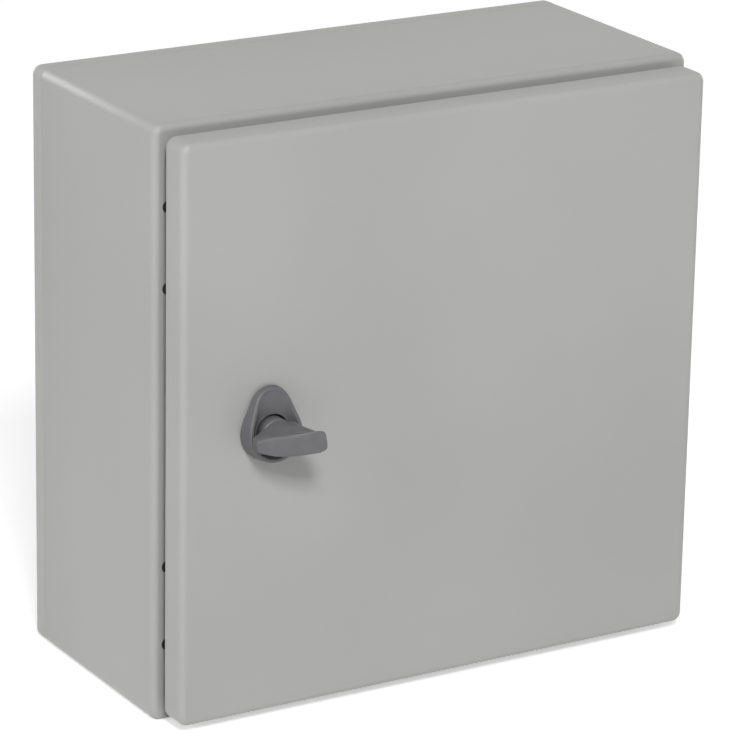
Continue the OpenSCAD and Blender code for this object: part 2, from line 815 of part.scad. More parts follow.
module cam_washer() {
    color(RGB_ZINC) at_knob() translate([0, 0, cam_back_d - cam_washer_t]) difference() {
        cylinder(d = spindle_dia + 4, h = cam_washer_t);
        translate([0, 0, -CUT]) cylinder(d = cam_screw_dia + 2 * SCREW_GAP, h = cam_washer_t + 2 * CUT);
    }
}

module cam_screw() {
    head_h = 0.7 * cam_screw_dia;
    color(RGB_ZINC) at_knob() translate([0, 0, cam_back_d - cam_washer_t]) {
        cylinder(d = cam_screw_dia, h = cam_washer_t + cam_screw_len);
        translate([0, 0, -head_h]) cylinder(d = nut_flats(cam_screw_dia) / cos(30), h = head_h, $fn = 6);
    }
}

body_shell();
back_panel();
mounting_plate();
plate_studs();
plate_washers();
plate_nuts();
gland_plate();
gland_gasket();
gland_studs();
gland_nuts();
body_earth_stud();
body_earth_washer();
body_earth_nut();
hinge_bracket_upper();
hinge_bracket_lower();
hinge_screws();
hinge_nuts();
hinge_pin_upper();
hinge_pin_lower();
flange_plugs();
door_shell();
door_gasket();
hinge_leaf_upper();
hinge_leaf_lower();
leaf_studs();
leaf_nuts();
door_earth_stud();
door_earth_washer();
door_earth_nut();
lock_seal();
lock_housing();
lock_nut();
wing_knob();
lock_spindle();
spindle_ring();
lock_cam();
cam_washer();
cam_screw();
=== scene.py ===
"""Looks of a steel wall enclosure: painted body and door, hinges, wing lock and inner fittings.

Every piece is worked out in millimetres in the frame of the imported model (X to the right, Y into
the wall, Z up, with the distance from the wall counted as d = -Y) and becomes metres when its
mesh is made.
"""

import logging
import math
from dataclasses import dataclass
from enum import Enum
from typing import Iterable, Sequence, Union

import bmesh
import bpy
import numpy as np
from mathutils import Matrix, Vector


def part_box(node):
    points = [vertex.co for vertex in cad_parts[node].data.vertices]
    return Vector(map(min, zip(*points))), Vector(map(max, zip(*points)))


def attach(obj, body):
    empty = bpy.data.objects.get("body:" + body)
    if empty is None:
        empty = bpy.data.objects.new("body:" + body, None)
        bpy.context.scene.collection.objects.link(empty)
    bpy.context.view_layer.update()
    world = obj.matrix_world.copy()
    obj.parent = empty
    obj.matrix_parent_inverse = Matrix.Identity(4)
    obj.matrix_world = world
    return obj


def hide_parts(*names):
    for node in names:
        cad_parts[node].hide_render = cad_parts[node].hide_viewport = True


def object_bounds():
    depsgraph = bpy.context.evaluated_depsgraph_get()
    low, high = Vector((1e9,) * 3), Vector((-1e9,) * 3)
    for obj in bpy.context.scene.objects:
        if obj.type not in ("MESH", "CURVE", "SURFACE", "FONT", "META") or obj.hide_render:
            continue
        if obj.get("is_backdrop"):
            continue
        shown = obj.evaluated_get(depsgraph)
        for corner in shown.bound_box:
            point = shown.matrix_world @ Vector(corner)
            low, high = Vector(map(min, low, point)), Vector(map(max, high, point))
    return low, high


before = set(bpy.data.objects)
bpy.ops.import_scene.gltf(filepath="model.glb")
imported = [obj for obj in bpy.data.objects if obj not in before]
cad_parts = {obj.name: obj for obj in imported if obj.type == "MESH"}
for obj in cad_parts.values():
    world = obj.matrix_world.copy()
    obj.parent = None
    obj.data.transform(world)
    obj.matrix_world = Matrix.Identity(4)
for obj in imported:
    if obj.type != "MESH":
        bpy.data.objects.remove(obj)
cad_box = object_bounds()

log = logging.getLogger("enclosure")

MM = 0.001
HOLD = 0.4                      # distance from a bend at which a flat face gets its own points
EDGE = 0.25                     # radius of a cut edge of sheet
EDGE_MID = 0.08                 # how far the middle of that round edge lies inside both faces
ENDS = ("upper", "lower")       # the two hinges
CHAMFER = math.radians(30)      # slope of the chamfers of nuts and screw heads
THREAD_DEPTH = 0.55             # depth of a thread, as a share of its pitch
THREAD_ROWS = 6                 # rows of points in each turn of a thread
NUT_CHAMFER = 0.155             # width of a nut's chamfer, as a share of its flats
NUT_FACE = 0.485                # radius of a nut's round face, as a share of its flats
NUT_SINK = 0.06                 # width of its countersinks, as a share of its flats


# ---- shapes ----


class Facing(Enum):
    """The way a turned part points; each value has the frame directions of its U, V and axis."""

    FRONT = ((1, 0, 0), (0, 0, 1), (0, -1, 0))
    BACK = ((-1, 0, 0), (0, 0, 1), (0, 1, 0))
    UP = ((1, 0, 0), (0, 1, 0), (0, 0, 1))


@dataclass
class Skin:
    """One closed skin of a piece.

    Attributes:
        points: corner points in millimetres, one row each.
        quads: faces of four corners, as rows of point numbers.
        caps: flat faces of any number of corners.
    """

    points: np.ndarray
    quads: np.ndarray
    caps: list[list[int]]

    def outward(self) -> "Skin":
        """Turns every face round if the skin's signed volume is negative.

        The volume is a sixth of the sum, over all triangles, of a . (b x c).

        Returns:
            The skin itself.
        """
        fans = [
            np.array([[cap[0], cap[i], cap[i + 1]] for i in range(1, len(cap) - 1)])
            for cap in self.caps
        ]
        triangles = np.concatenate([self.quads[:, [0, 1, 2]], self.quads[:, [0, 2, 3]], *fans])
        a, b, c = (self.points[triangles[:, i]] for i in range(3))
        if np.einsum("ij,ij->", a, np.cross(b, c)) < 0:
            self.quads = self.quads[:, ::-1]
            self.caps = [cap[::-1] for cap in self.caps]
        return self


def skin(rows: np.ndarray, looped: bool = False) -> Skin:
    """Joins rows of points into a closed skin.

    Point j of row i is joined to point j + 1 of that row and to point j of row i + 1, and the last
    point of a row to its first.

    Args:
        rows: array of K rows of N points.
        looped: joins the last row to the first; otherwise a flat face closes each end.

    Returns:
        The skin, with its faces outwards.
    """
    count, width = rows.shape[:2]
    index = np.arange(count * width).reshape(count, width)
    low = index if looped else index[:-1]
    high = np.roll(index, -1, axis=0) if looped else index[1:]
    quads = np.stack([low, np.roll(low, -1, axis=1), np.roll(high, -1, axis=1), high], axis=-1)
    caps = [] if looped else [index[0, ::-1].tolist(), index[-1].tolist()]
    return Skin(rows.reshape(-1, 3), quads.reshape(-1, 4), caps).outward()


def around(columns: int) -> np.ndarray:
    """Angles that divide a full turn evenly, in radians."""
    return np.linspace(0, 2 * math.pi, columns, endpoint=False)


def polar(radius: Union[float, np.ndarray], angle: np.ndarray, *height: np.ndarray) -> np.ndarray:
    """Points radius * (cos, sin) of an angle, with a third number where a height is given."""
    parts = np.broadcast_arrays(radius * np.cos(angle), radius * np.sin(angle), *height)
    return np.stack(parts, axis=-1)


def spun(points: np.ndarray, degrees: float) -> np.ndarray:
    """Turns 2-D or 3-D points in the plane of their first two numbers, anticlockwise."""
    lean = math.radians(degrees)
    turn = np.eye(points.shape[-1])
    turn[:2, :2] = [[math.cos(lean), math.sin(lean)], [-math.sin(lean), math.cos(lean)]]
    return points @ turn


def arc(
    centre: Sequence[float], radius: float, start: float, stop: float, steps: int = 6
) -> np.ndarray:
    """Points of a round bend: centre + radius * (cos, sin) of angles spread evenly.

    Args:
        centre: the bend's centre.
        radius: its radius.
        start: first angle in degrees.
        stop: last angle in degrees.
        steps: number of chords.

    Returns:
        steps + 1 points.
    """
    angle = np.radians(np.linspace(start, stop, steps + 1))
    return np.asarray(centre, float) + polar(radius, angle)


def path(*stretches: Union[np.ndarray, Sequence[Sequence[float]]]) -> np.ndarray:
    """Joins points and bends into one list of 2-D points."""
    return np.concatenate([np.asarray(stretch, float).reshape(-1, 2) for stretch in stretches])


def rounded_rings(
    half_w: np.ndarray, half_h: np.ndarray, radius: np.ndarray, steps: int = 8
) -> np.ndarray:
    """Rectangles with round corners, one for each entry of the arrays.

    A corner is radius * (cos, sin) about a centre that lies one radius inside both sides. A side is
    a straight blend between two corners' ends, with extra points close to both so that it shades
    flat.

    Args:
        half_w: half widths.
        half_h: half heights.
        radius: corner radii.
        steps: chords in a corner.

    Returns:
        Array of K rings of N points (x, z), anticlockwise from the right side.
    """
    sizes = (half_w, half_h, radius)
    half_w, half_h, radius = (np.atleast_1d(np.asarray(v, float))[:, None] for v in sizes)
    turn = np.linspace(0, math.pi / 2, steps + 1)
    angle = np.concatenate([turn + quarter * math.pi / 2 for quarter in range(4)])
    side_x = np.repeat([1, -1, -1, 1], steps + 1)
    side_z = np.repeat([1, 1, -1, -1], steps + 1)
    x = side_x * (half_w - radius) + radius * np.cos(angle)
    z = side_z * (half_h - radius) + radius * np.sin(angle)
    corners = np.stack([x, z], axis=-1).reshape(len(x), 4, steps + 1, 2)
    stops = np.array([0.004, 0.33, 0.67, 0.996])[None, None, :, None]
    start = corners[:, :, -1:, :]
    end = np.roll(corners[:, :, :1, :], -1, axis=1)
    sides = start + (end - start) * stops
    return np.concatenate([corners, sides], axis=2).reshape(len(x), -1, 2)


def upright(rings: np.ndarray, depth: np.ndarray) -> np.ndarray:
    """Places rings (x, z) at their distances from the wall, as frame points (x, -depth, z)."""
    column = depth if np.ndim(depth) == 2 else np.atleast_1d(depth)[:, None]
    y = np.broadcast_to(-column, rings.shape[:2])
    return np.stack([rings[..., 0], y, rings[..., 1]], axis=-1)


def stand(points: np.ndarray, foot: Sequence[float], facing: Facing) -> np.ndarray:
    """Turns a part drawn along its own axis to its facing and moves its foot into place."""
    return points @ np.array(facing.value, float) + np.asarray(foot, float)


def turned(profile: np.ndarray, columns: int = 32) -> np.ndarray:
    """Rows of a turned part: each profile point (radius, height) runs round in a circle."""
    return polar(profile[:, :1], around(columns), profile[:, 1:])


def thread_drop(height: np.ndarray, angle: np.ndarray, pitch: float, depth: float) -> np.ndarray:
    """How far a thread lies below its crest.

    It is depth times a triangle wave of height / pitch - angle / full turn, so that the groove
    climbs by one pitch in each turn.
    """
    phase = np.mod(height / pitch - angle / (2 * math.pi), 1.0)
    return depth * np.abs(2 * phase - 1)


def threaded_rod(radius: float, length: float, pitch: float, columns: int = 30) -> np.ndarray:
    """Rows of a threaded rod that stands on height 0.

    The radius is the crest radius less the thread's drop, and no more than a 45 degree chamfer
    leaves at the free end.

    Args:
        radius: crest radius.
        length: length.
        pitch: thread pitch.
        columns: points round the rod.

    Returns:
        Array of rows of points.
    """
    depth = THREAD_DEPTH * pitch
    height = np.linspace(0, length, int(THREAD_ROWS * length / pitch) + 1)[:, None]
    angle = around(columns)
    r = radius - thread_drop(height, angle, pitch, depth)
    r = np.minimum(r, radius - 1.2 * depth + (length - height))
    return polar(r, angle, height)


def hexagon_radius(angle: np.ndarray, flats: float) -> np.ndarray:
    """Distance from a hexagon's middle to its side: flats / 2 / cos(angle to the nearest flat)."""
    nearest = np.mod(angle + math.pi / 6, math.pi / 3) - math.pi / 6
    return flats / 2 / np.cos(nearest)


def hexagon_flats(radius: float) -> float:
    """Size across the flats of a small nut or screw head, from its thread's radius."""
    return 1.65 * 2 * radius + 0.2


def hex_body(
    flats: float, height: float, columns: int = 48, chamfer_low: bool = True
) -> np.ndarray:
    """Rows of a hexagon with turned chamfers, from its lower face to its upper face.

    The radius is the smaller of the hexagon's outline and a cone of 30 degrees to each chamfered
    face that starts just inside the flats.

    Args:
        flats: size across the flats.
        height: height.
        columns: points round the hexagon; a multiple of 12 puts points on its corners.
        chamfer_low: also chamfers the lower face.

    Returns:
        Array of rows of points, without the faces.
    """
    levels = np.linspace(0, NUT_CHAMFER * flats * math.tan(CHAMFER), 5)
    start = levels if chamfer_low else np.array([0.0])
    h = np.concatenate([start, (height - levels)[::-1]])[:, None]
    angle = around(columns)
    from_face = np.minimum(h, height - h) if chamfer_low else height - h
    cone = NUT_FACE * flats + from_face / math.tan(CHAMFER)
    return polar(np.minimum(hexagon_radius(angle, flats), cone), angle, h)


def hex_nut(flats: float, height: float, bore: float) -> np.ndarray:
    """Rows of a nut as a loop: up its chamfered outside and down its bore, countersunk twice."""
    outside = hex_body(flats, height)
    sink = NUT_SINK * flats
    hole = [[bore + sink, height], [bore, height - sink], [bore, sink], [bore + sink, 0.0]]
    return np.concatenate([outside, turned(np.array(hole), outside.shape[1])])


def washer(bore: float, rim: float, thickness: float, edge: float = 0.12) -> np.ndarray:
    """Rows of a flat washer as a loop, with its four edges broken."""
    profile = [
        [bore, edge], [bore, thickness - edge], [bore + edge, thickness], [rim - edge, thickness],
        [rim, thickness - edge], [rim, edge], [rim - edge, 0], [bore + edge, 0],
    ]
    return turned(np.array(profile), 48)


# ---- pieces ----


def millimetres(node: str) -> tuple[np.ndarray, np.ndarray]:
    """Lowest and highest corner of a node, in millimetres."""
    low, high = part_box(node)
    return np.array(low) / MM, np.array(high) / MM


def islands(node: str) -> list[tuple[np.ndarray, np.ndarray]]:
    """Boxes of a node's separate solids.

    Args:
        node: a node of repeated fasteners.

    Returns:
        Lowest and highest corner of each solid in millimetres, ordered by place.
    """
    work = bmesh.new()
    work.from_mesh(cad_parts[node].data)
    bmesh.ops.remove_doubles(work, verts=work.verts, dist=1e-6)
    work.verts.ensure_lookup_table()
    unseen = set(range(len(work.verts)))
    boxes = []
    while unseen:
        group, edge = set(), [unseen.pop()]
        while edge:
            here = edge.pop()
            group.add(here)
            near = {e.other_vert(work.verts[here]).index for e in work.verts[here].link_edges}
            fresh = near & unseen
            unseen -= fresh
            edge.extend(fresh)
        corners = np.array([work.verts[i].co for i in group]) / MM
        boxes.append((corners.min(0), corners.max(0)))
    work.free()
    return sorted(boxes, key=lambda box: tuple(np.round(box[0], 1)))


@dataclass(frozen=True)
class Seat:
    """Where one fastener stands and how large it is, in millimetres.

    Attributes:
        foot: middle of the end that it stands on.
        across: its two sizes across its own axis.
        length: its length along that axis.
        facing: the way it points.
    """

    foot: np.ndarray
    across: np.ndarray
    length: float
    facing: Facing

    @property
    def radius(self) -> float:
        """Half its size across."""
        return self.across[0] / 2

    def skin(self, rows: np.ndarray, looped: bool = False) -> Skin:
        """Makes a skin of rows that are drawn along the part's own axis, with its foot in place."""
        return skin(stand(rows, self.foot, self.facing), looped)


def seats(node: str, facing: Facing) -> list[Seat]:
    """Seats of a node's separate solids.

    Args:
        node: the node.
        facing: the way its solids point.

    Returns:
        One seat for each solid, ordered by place.
    """
    axis = 2 if facing is Facing.UP else 1
    others = [i for i in range(3) if i != axis]
    found = []
    for low, high in islands(node):
        foot = (low + high) / 2
        foot[axis] = high[axis] if facing is Facing.FRONT else low[axis]
        found.append(Seat(foot, (high - low)[others], high[axis] - low[axis], facing))
    return found


def shade(mesh: bpy.types.Mesh, crease: float) -> None:
    """Shades a mesh smooth and marks the edges that turn by more than crease degrees as sharp."""
    mesh.shade_smooth()
    mesh.set_sharp_from_angle(angle=math.radians(crease))


def make_mesh(name: str, skins: Iterable[Skin]) -> bpy.types.Object:
    """Makes one object of several skins, in metres and at the origin.

    Args:
        name: the object's name.
        skins: closed skins in millimetres.

    Returns:
        The new object.
    """
    points, faces, offset = [], [], 0
    for one in skins:
        points.append(one.points)
        faces += (one.quads + offset).tolist() + [[i + offset for i in cap] for cap in one.caps]
        offset += len(one.points)
    mesh = bpy.data.meshes.new(name)
    mesh.from_pydata((np.concatenate(points) * MM).tolist(), [], faces)
    mesh.update()
    made = bpy.data.objects.new(name, mesh)
    bpy.context.scene.collection.objects.link(made)
    return made


def settle(made: bpy.types.Object) -> None:
    """Applies an object's modifiers by taking its evaluated mesh as its own."""
    bpy.context.view_layer.update()
    graph = bpy.context.evaluated_depsgraph_get()
    mesh = bpy.data.meshes.new_from_object(made.evaluated_get(graph), depsgraph=graph)
    made.modifiers.clear()
    made.data = mesh


def cut(made: bpy.types.Object, cutters: Sequence[Skin]) -> None:
    """Cuts closed skins out of an object, as a punch or a drill does."""
    tool = make_mesh(made.name + "_cutter", cutters)
    step = made.modifiers.new("cut", "BOOLEAN")
    step.object = tool
    step.operation = "DIFFERENCE"
    step.solver = "EXACT"
    settle(made)
    bpy.data.objects.remove(tool)


def softened(node: str, width: float) -> bpy.types.Object:
    """Copies a node's solid, joins its loose triangles and breaks its edges with a bevel.

    Args:
        node: the node to copy.
        width: width of the bevel in millimetres.

    Returns:
        The new object, named after the node.
    """
    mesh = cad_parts[node].data.copy()
    work = bmesh.new()
    work.from_mesh(mesh)
    bmesh.ops.remove_doubles(work, verts=work.verts, dist=1e-6)
    flat = math.radians(0.5)
    bmesh.ops.dissolve_limit(work, angle_limit=flat, verts=work.verts, edges=work.edges)
    work.to_mesh(mesh)
    work.free()
    made = bpy.data.objects.new(node + "_soft", mesh)
    bpy.context.scene.collection.objects.link(made)
    step = made.modifiers.new("edges", "BEVEL")
    step.width = width * MM
    step.segments = 2
    step.limit_method = "ANGLE"
    step.angle_limit = math.radians(40)
    step.use_clamp_overlap = True
    settle(made)
    shade(made.data, 20)
    return made


# ---- shader maths ----


Number = Union[float, "Value"]


class Value:
    """A number that comes out of a node, so that shader maths reads as a Python expression."""

    def __init__(self, graph: "Graph", socket: bpy.types.NodeSocket) -> None:
        """Wraps one output socket of a graph."""
        self.graph = graph
        self.socket = socket

    def math(self, operation: str, *others: Number) -> "Value":
        """Adds a Math node of that operation on this value and the others."""
        inputs = dict(enumerate((self, *others)))
        return self.graph.node("ShaderNodeMath", {"operation": operation}, inputs)

    def __add__(self, other: Number) -> "Value":
        """Sum."""
        return self.math("ADD", other)

    __radd__ = __add__

    def __mul__(self, other: Number) -> "Value":
        """Product."""
        return self.math("MULTIPLY", other)

    __rmul__ = __mul__

    def __sub__(self, other: Number) -> "Value":
        """Difference."""
        return self.math("SUBTRACT", other)

    def __rsub__(self, other: float) -> "Value":
        """Difference from a plain number."""
        return self.graph.node("ShaderNodeMath", {"operation": "SUBTRACT"}, {0: other, 1: self})

    def __truediv__(self, other: Number) -> "Value":
        """Quotient."""
        return self.math("DIVIDE", other)

    def absolute(self) -> "Value":
        """Size without sign."""
        return self.math("ABSOLUTE")

    def limited(
        self, low: float, high: float, to_low: float = 0.0, to_high: float = 1.0
    ) -> "Value":
        """Maps low..high smoothly to to_low..to_high and holds the ends."""
        settings = {"interpolation_type": "SMOOTHSTEP"}
        inputs = {"Value": self, "From Min": low, "From Max": high,
                  "To Min": to_low, "To Max": to_high}
        return self.graph.node("ShaderNodeMapRange", settings, inputs)


def linear(colour: Sequence[float]) -> tuple[float, float, float, float]:
    """Turns a colour as written on a chart (sRGB) into linear light, with full alpha."""
    c = np.asarray(colour, float)
    value = np.where(c <= 0.04045, c / 12.92, ((c + 0.055) / 1.055) ** 2.4)
    return (*value.tolist(), 1.0)


class Graph:
    """A node tree that is written from Python."""

    def __init__(self, tree: bpy.types.NodeTree) -> None:
        """Clears the tree and keeps it."""
        self.tree = tree
        tree.nodes.clear()

    def node(self, kind: str, settings: dict, inputs: dict, output: Union[int, str] = 0) -> Value:
        """Adds a node.

        Args:
            kind: the node's type.
            settings: its settings; "stops" gives a colour ramp's places and colours.
            inputs: numbers, colours or values for its sockets, by name or place.
            output: the output to return, by name or place.

        Returns:
            That output.
        """
        made = self.tree.nodes.new(kind)
        stops = settings.get("stops")
        for key, value in settings.items():
            if key != "stops":
                setattr(made, key, value)
        if stops:
            ramp = made.color_ramp.elements
            while len(ramp) < len(stops):
                ramp.new(0.5)
            for element, (place, colour) in zip(ramp, stops):
                element.position = place
                element.color = linear(colour)
        for key, value in inputs.items():
            if isinstance(value, Value):
                self.tree.links.new(value.socket, made.inputs[key])
            else:
                made.inputs[key].default_value = value
        return Value(self, made.outputs[output])

    def place(self) -> Value:
        """The point on the piece, in metres in the frame."""
        return self.node("ShaderNodeTexCoord", {}, {}, "Object")

    def axes(self) -> list[Value]:
        """The point's X, Y and Z as three values."""
        split = self.node("ShaderNodeSeparateXYZ", {}, {0: self.place()})
        return [Value(self, split.socket.node.outputs[i]) for i in range(3)]

    def noise(self, grain: float, detail: float = 2.0, roughness: float = 0.5) -> Value:
        """Noise of 0 to 1 whose features are about grain millimetres wide."""
        inputs = {"Vector": self.place(), "Scale": 1 / (grain * MM),
                  "Detail": detail, "Roughness": roughness}
        return self.node("ShaderNodeTexNoise", {}, inputs)

    def cells(self, grain: float, vector: Value, output: str = "Distance") -> Value:
        """Cells about grain millimetres wide: distance to their points, or their own colours."""
        inputs = {"Vector": vector, "Scale": 1 / (grain * MM)}
        return self.node("ShaderNodeTexVoronoi", {}, inputs, output)

    def blend(self, factor: Value, low: Sequence[float], high: Sequence[float]) -> Value:
        """Mixes two chart colours by a factor."""
        settings = {"data_type": "RGBA"}
        return self.node("ShaderNodeMix", settings, {0: factor, 6: linear(low), 7: linear(high)}, 2)

    def bump(self, height: Value, depth: float, strength: float = 1.0) -> Value:
        """Surface relief: a height of 0 to 1 stands for depth millimetres."""
        inputs = {"Strength": strength, "Distance": depth * MM, "Height": height}
        return self.node("ShaderNodeBump", {}, inputs)

    def surface(self, **sockets: Union[float, Sequence[float], Value]) -> None:
        """Ends a material in one Principled shader; an underscore in a name stands for a space."""
        names = {key: key.replace("_", " ").replace("Ior", "IOR") for key in sockets}
        inputs = {names[key]: value for key, value in sockets.items()}
        self.finish(self.node("ShaderNodeBsdfPrincipled", {}, inputs))

    def finish(self, shader: Value, kind: str = "ShaderNodeOutputMaterial") -> None:
        """Joins a shader to the tree's output node."""
        last = self.tree.nodes.new(kind)
        self.tree.links.new(shader.socket, last.inputs["Surface"])


# ---- finishes ----


@dataclass(frozen=True)
class Finish:
    """A finish that builds its own material; colours are as written on a chart, 0 to 1."""

    colour: tuple[float, float, float] = (0.5, 0.5, 0.5)
    roughness: float = 0.5

    def paint(self, graph: Graph) -> None:
        """Writes the finish into a material's graph."""
        raise NotImplementedError

    def material(self, name: str) -> bpy.types.Material:
        """Makes the finish's material."""
        made = bpy.data.materials.new(name)
        made.use_nodes = True
        self.paint(Graph(made.node_tree))
        return made


@dataclass(frozen=True)
class PowderCoat(Finish):
    """Baked powder paint: an even colour with a fine orange peel and satin gloss.

    Attributes:
        peel: width of the peel's dimples in millimetres.
        grain: width of the fine grain on them in millimetres.
        drift: width of the slow changes of colour and gloss in millimetres.
        relief: depth of peel and grain in millimetres.
        weld: half sizes of the front flange in metres where its mitred corners were welded and
            ground, or None.
        front: distance of that flange from the wall in metres.
        bead: half width of the ground weld in metres.
    """

    peel: float = 1.6
    grain: float = 0.35
    drift: float = 140.0
    relief: float = 0.035
    weld: Union[tuple[float, float], None] = None
    front: float = 0.128
    bead: float = 0.0016

    def paint(self, graph: Graph) -> None:
        """Peel and grain make the relief, and a wide noise varies colour and gloss a little."""
        drift = graph.noise(self.drift, 1.0)
        peel = graph.noise(self.peel, 2.0, 0.55)
        grain = graph.noise(self.grain, 1.0)
        c = np.array(self.colour)
        height = peel * 0.75 + grain * 0.25
        if self.weld:
            x, y, z = graph.axes()
            off = ((x.absolute() - self.weld[0]) - (z.absolute() - self.weld[1])).absolute()
            at_front = y.limited(-self.front - 0.001, -self.front + 0.0018, 1.0, 0.0)
            height = height + off.limited(0.0, self.bead, 1.0, 0.0) * at_front * (2.0 + peel)
        graph.surface(
            Base_Color=graph.blend(drift.limited(0.3, 0.7), c * 0.985, c * 1.01),
            Roughness=self.roughness + (drift - 0.5) * 0.08 + (grain - 0.5) * 0.06,
            Ior=1.45,
            Normal=graph.bump(height, self.relief, 0.45),
        )


@dataclass(frozen=True)
class Galvanised(Finish):
    """Hot-dip zinc on sheet: matt grains that each catch the light a little differently.

    Attributes:
        spangle: width of a grain in millimetres.
        waves: waves per metre of the noise that bends the grains' edges.
        reach: how far it bends them, in metres.
    """

    spangle: float = 7.0
    waves: float = 90.0
    reach: float = 0.006

    def paint(self, graph: Graph) -> None:
        """A cell pattern bent by noise gives each grain its own shade and gloss."""
        place = graph.place()
        inputs = {"Vector": place, "Scale": self.waves, "Detail": 2.0}
        bend = graph.node("ShaderNodeTexNoise", {}, inputs, "Color")
        inputs = {0: bend, "Scale": self.reach}
        shift = graph.node("ShaderNodeVectorMath", {"operation": "SCALE"}, inputs)
        bent = graph.node("ShaderNodeVectorMath", {"operation": "ADD"}, {0: place, 1: shift})
        cells = graph.cells(self.spangle, bent, "Color")
        split = graph.node("ShaderNodeSeparateColor", {}, {0: cells})
        frost = graph.noise(0.8, 2.0)
        c = np.array(self.colour)
        graph.surface(
            Base_Color=graph.blend(split * 0.8 + frost * 0.2, c * 0.90, c * 1.06),
            Metallic=1.0,
            Roughness=self.roughness + split * 0.14 + (frost - 0.5) * 0.10,
            Normal=graph.bump(frost * 0.6 + split * 0.4, 0.01, 0.35),
        )


@dataclass(frozen=True)
class PlatedSteel(Finish):
    """Plated or plain steel of small parts: drawn or rolled marks under a thin bright skin.

    Attributes:
        relief: depth of the marks in millimetres.
        stain: colour of the faint stains.
        mark: width of a mark in millimetres.
        patch: width of a stain in millimetres.
    """

    relief: float = 0.012
    stain: tuple[float, float, float] = (0.60, 0.60, 0.56)
    mark: float = 0.5
    patch: float = 6.0

    def paint(self, graph: Graph) -> None:
        """Fine noise makes tool marks, and a wider one makes faint stains."""
        marks = graph.noise(self.mark, 3.0, 0.6)
        patch = graph.noise(self.patch, 3.0).limited(0.48, 0.72)
        graph.surface(
            Base_Color=graph.blend(patch * 0.5, self.colour, self.stain),
            Metallic=1.0,
            Roughness=self.roughness + (marks - 0.5) * 0.16 + patch * 0.08,
            Normal=graph.bump(marks, self.relief, 0.5),
        )


@dataclass(frozen=True)
class Foam(Finish):
    """Foamed rubber: matt and dark, with open pore cells whose hollows are darkened by painted
    shade.

    Attributes:
        pore: width of a pore in millimetres.
        depth: its depth in millimetres.
    """

    pore: float = 0.55
    depth: float = 0.12

    def paint(self, graph: Graph) -> None:
        """Cells make the pore relief, and the same pattern darkens each pore's bottom as painted
        shade.
        """
        pore_relief_and_shade = graph.cells(self.pore, graph.place()).limited(0.15, 0.6)
        c = np.array(self.colour)
        graph.surface(
            # painted shade: the colour falls to 0.7 of itself in each pore's hollow
            Base_Color=graph.blend(pore_relief_and_shade * 0.7 + graph.noise(5.0) * 0.3, c * 0.7, c * 1.3),
            Roughness=self.roughness + pore_relief_and_shade * 0.04,
            Normal=graph.bump(pore_relief_and_shade, self.depth, 0.6),
        )


@dataclass(frozen=True)
class MouldedPlastic(Finish):
    """Injection-moulded plastic with a fine spark-eroded grain.

    Attributes:
        grain: width of the grain in millimetres.
        flow: width of the flow marks in millimetres.
        relief: depth of the grain in millimetres.
    """

    grain: float = 0.30
    flow: float = 9.0
    relief: float = 0.02

    def paint(self, graph: Graph) -> None:
        """The grain makes relief and gloss; slow flow marks vary the colour slightly."""
        grain = graph.noise(self.grain, 2.0, 0.6)
        flow = graph.noise(self.flow, 2.0)
        c = np.array(self.colour)
        graph.surface(
            Base_Color=graph.blend(flow.limited(0.3, 0.7), c * 0.97, c * 1.03),
            Roughness=self.roughness + (grain - 0.5) * 0.14 + (flow - 0.5) * 0.05,
            Ior=1.48,
            Normal=graph.bump(grain, self.relief, 0.5),
        )


class Slot(Enum):
    """Material slots of the record; each value gives the slot's name."""

    BODY_PAINT = "body_paint"
    DOOR_PAINT = "door_paint"
    GALVANISED = "galvanised_sheet"
    STUD = "stud_steel"
    ZINC = "zinc_plate"
    HINGE = "hinge_zinc"
    BRASS = "earth_brass"
    FOAM = "foam_rubber"
    BLACK = "black_plastic"
    GREY = "grey_plastic"


def finishes(half_w: float, half_h: float) -> dict[Slot, Finish]:
    """The finish of every slot.

    Args:
        half_w: half the body's width in metres.
        half_h: half its height in metres.

    Returns:
        Finishes by slot.
    """
    return {
        Slot.BODY_PAINT: PowderCoat((0.665, 0.665, 0.658), 0.42, weld=(half_w, half_h)),
        Slot.DOOR_PAINT: PowderCoat((0.672, 0.672, 0.665), 0.42),
        Slot.GALVANISED: Galvanised((0.75, 0.76, 0.77), 0.34),
        Slot.STUD: PlatedSteel((0.62, 0.63, 0.65), 0.34),
        Slot.ZINC: PlatedSteel((0.74, 0.76, 0.80), 0.24, stain=(0.70, 0.70, 0.64)),
        Slot.HINGE: PlatedSteel((0.70, 0.71, 0.73), 0.38, relief=0.03, stain=(0.60, 0.61, 0.62)),
        Slot.BRASS: PlatedSteel((0.80, 0.68, 0.38), 0.26, stain=(0.56, 0.44, 0.24)),
        Slot.FOAM: Foam((0.12, 0.12, 0.125), 0.90),
        Slot.BLACK: MouldedPlastic((0.11, 0.11, 0.11), 0.5),
        Slot.GREY: MouldedPlastic((0.385, 0.385, 0.395), 0.42),
    }


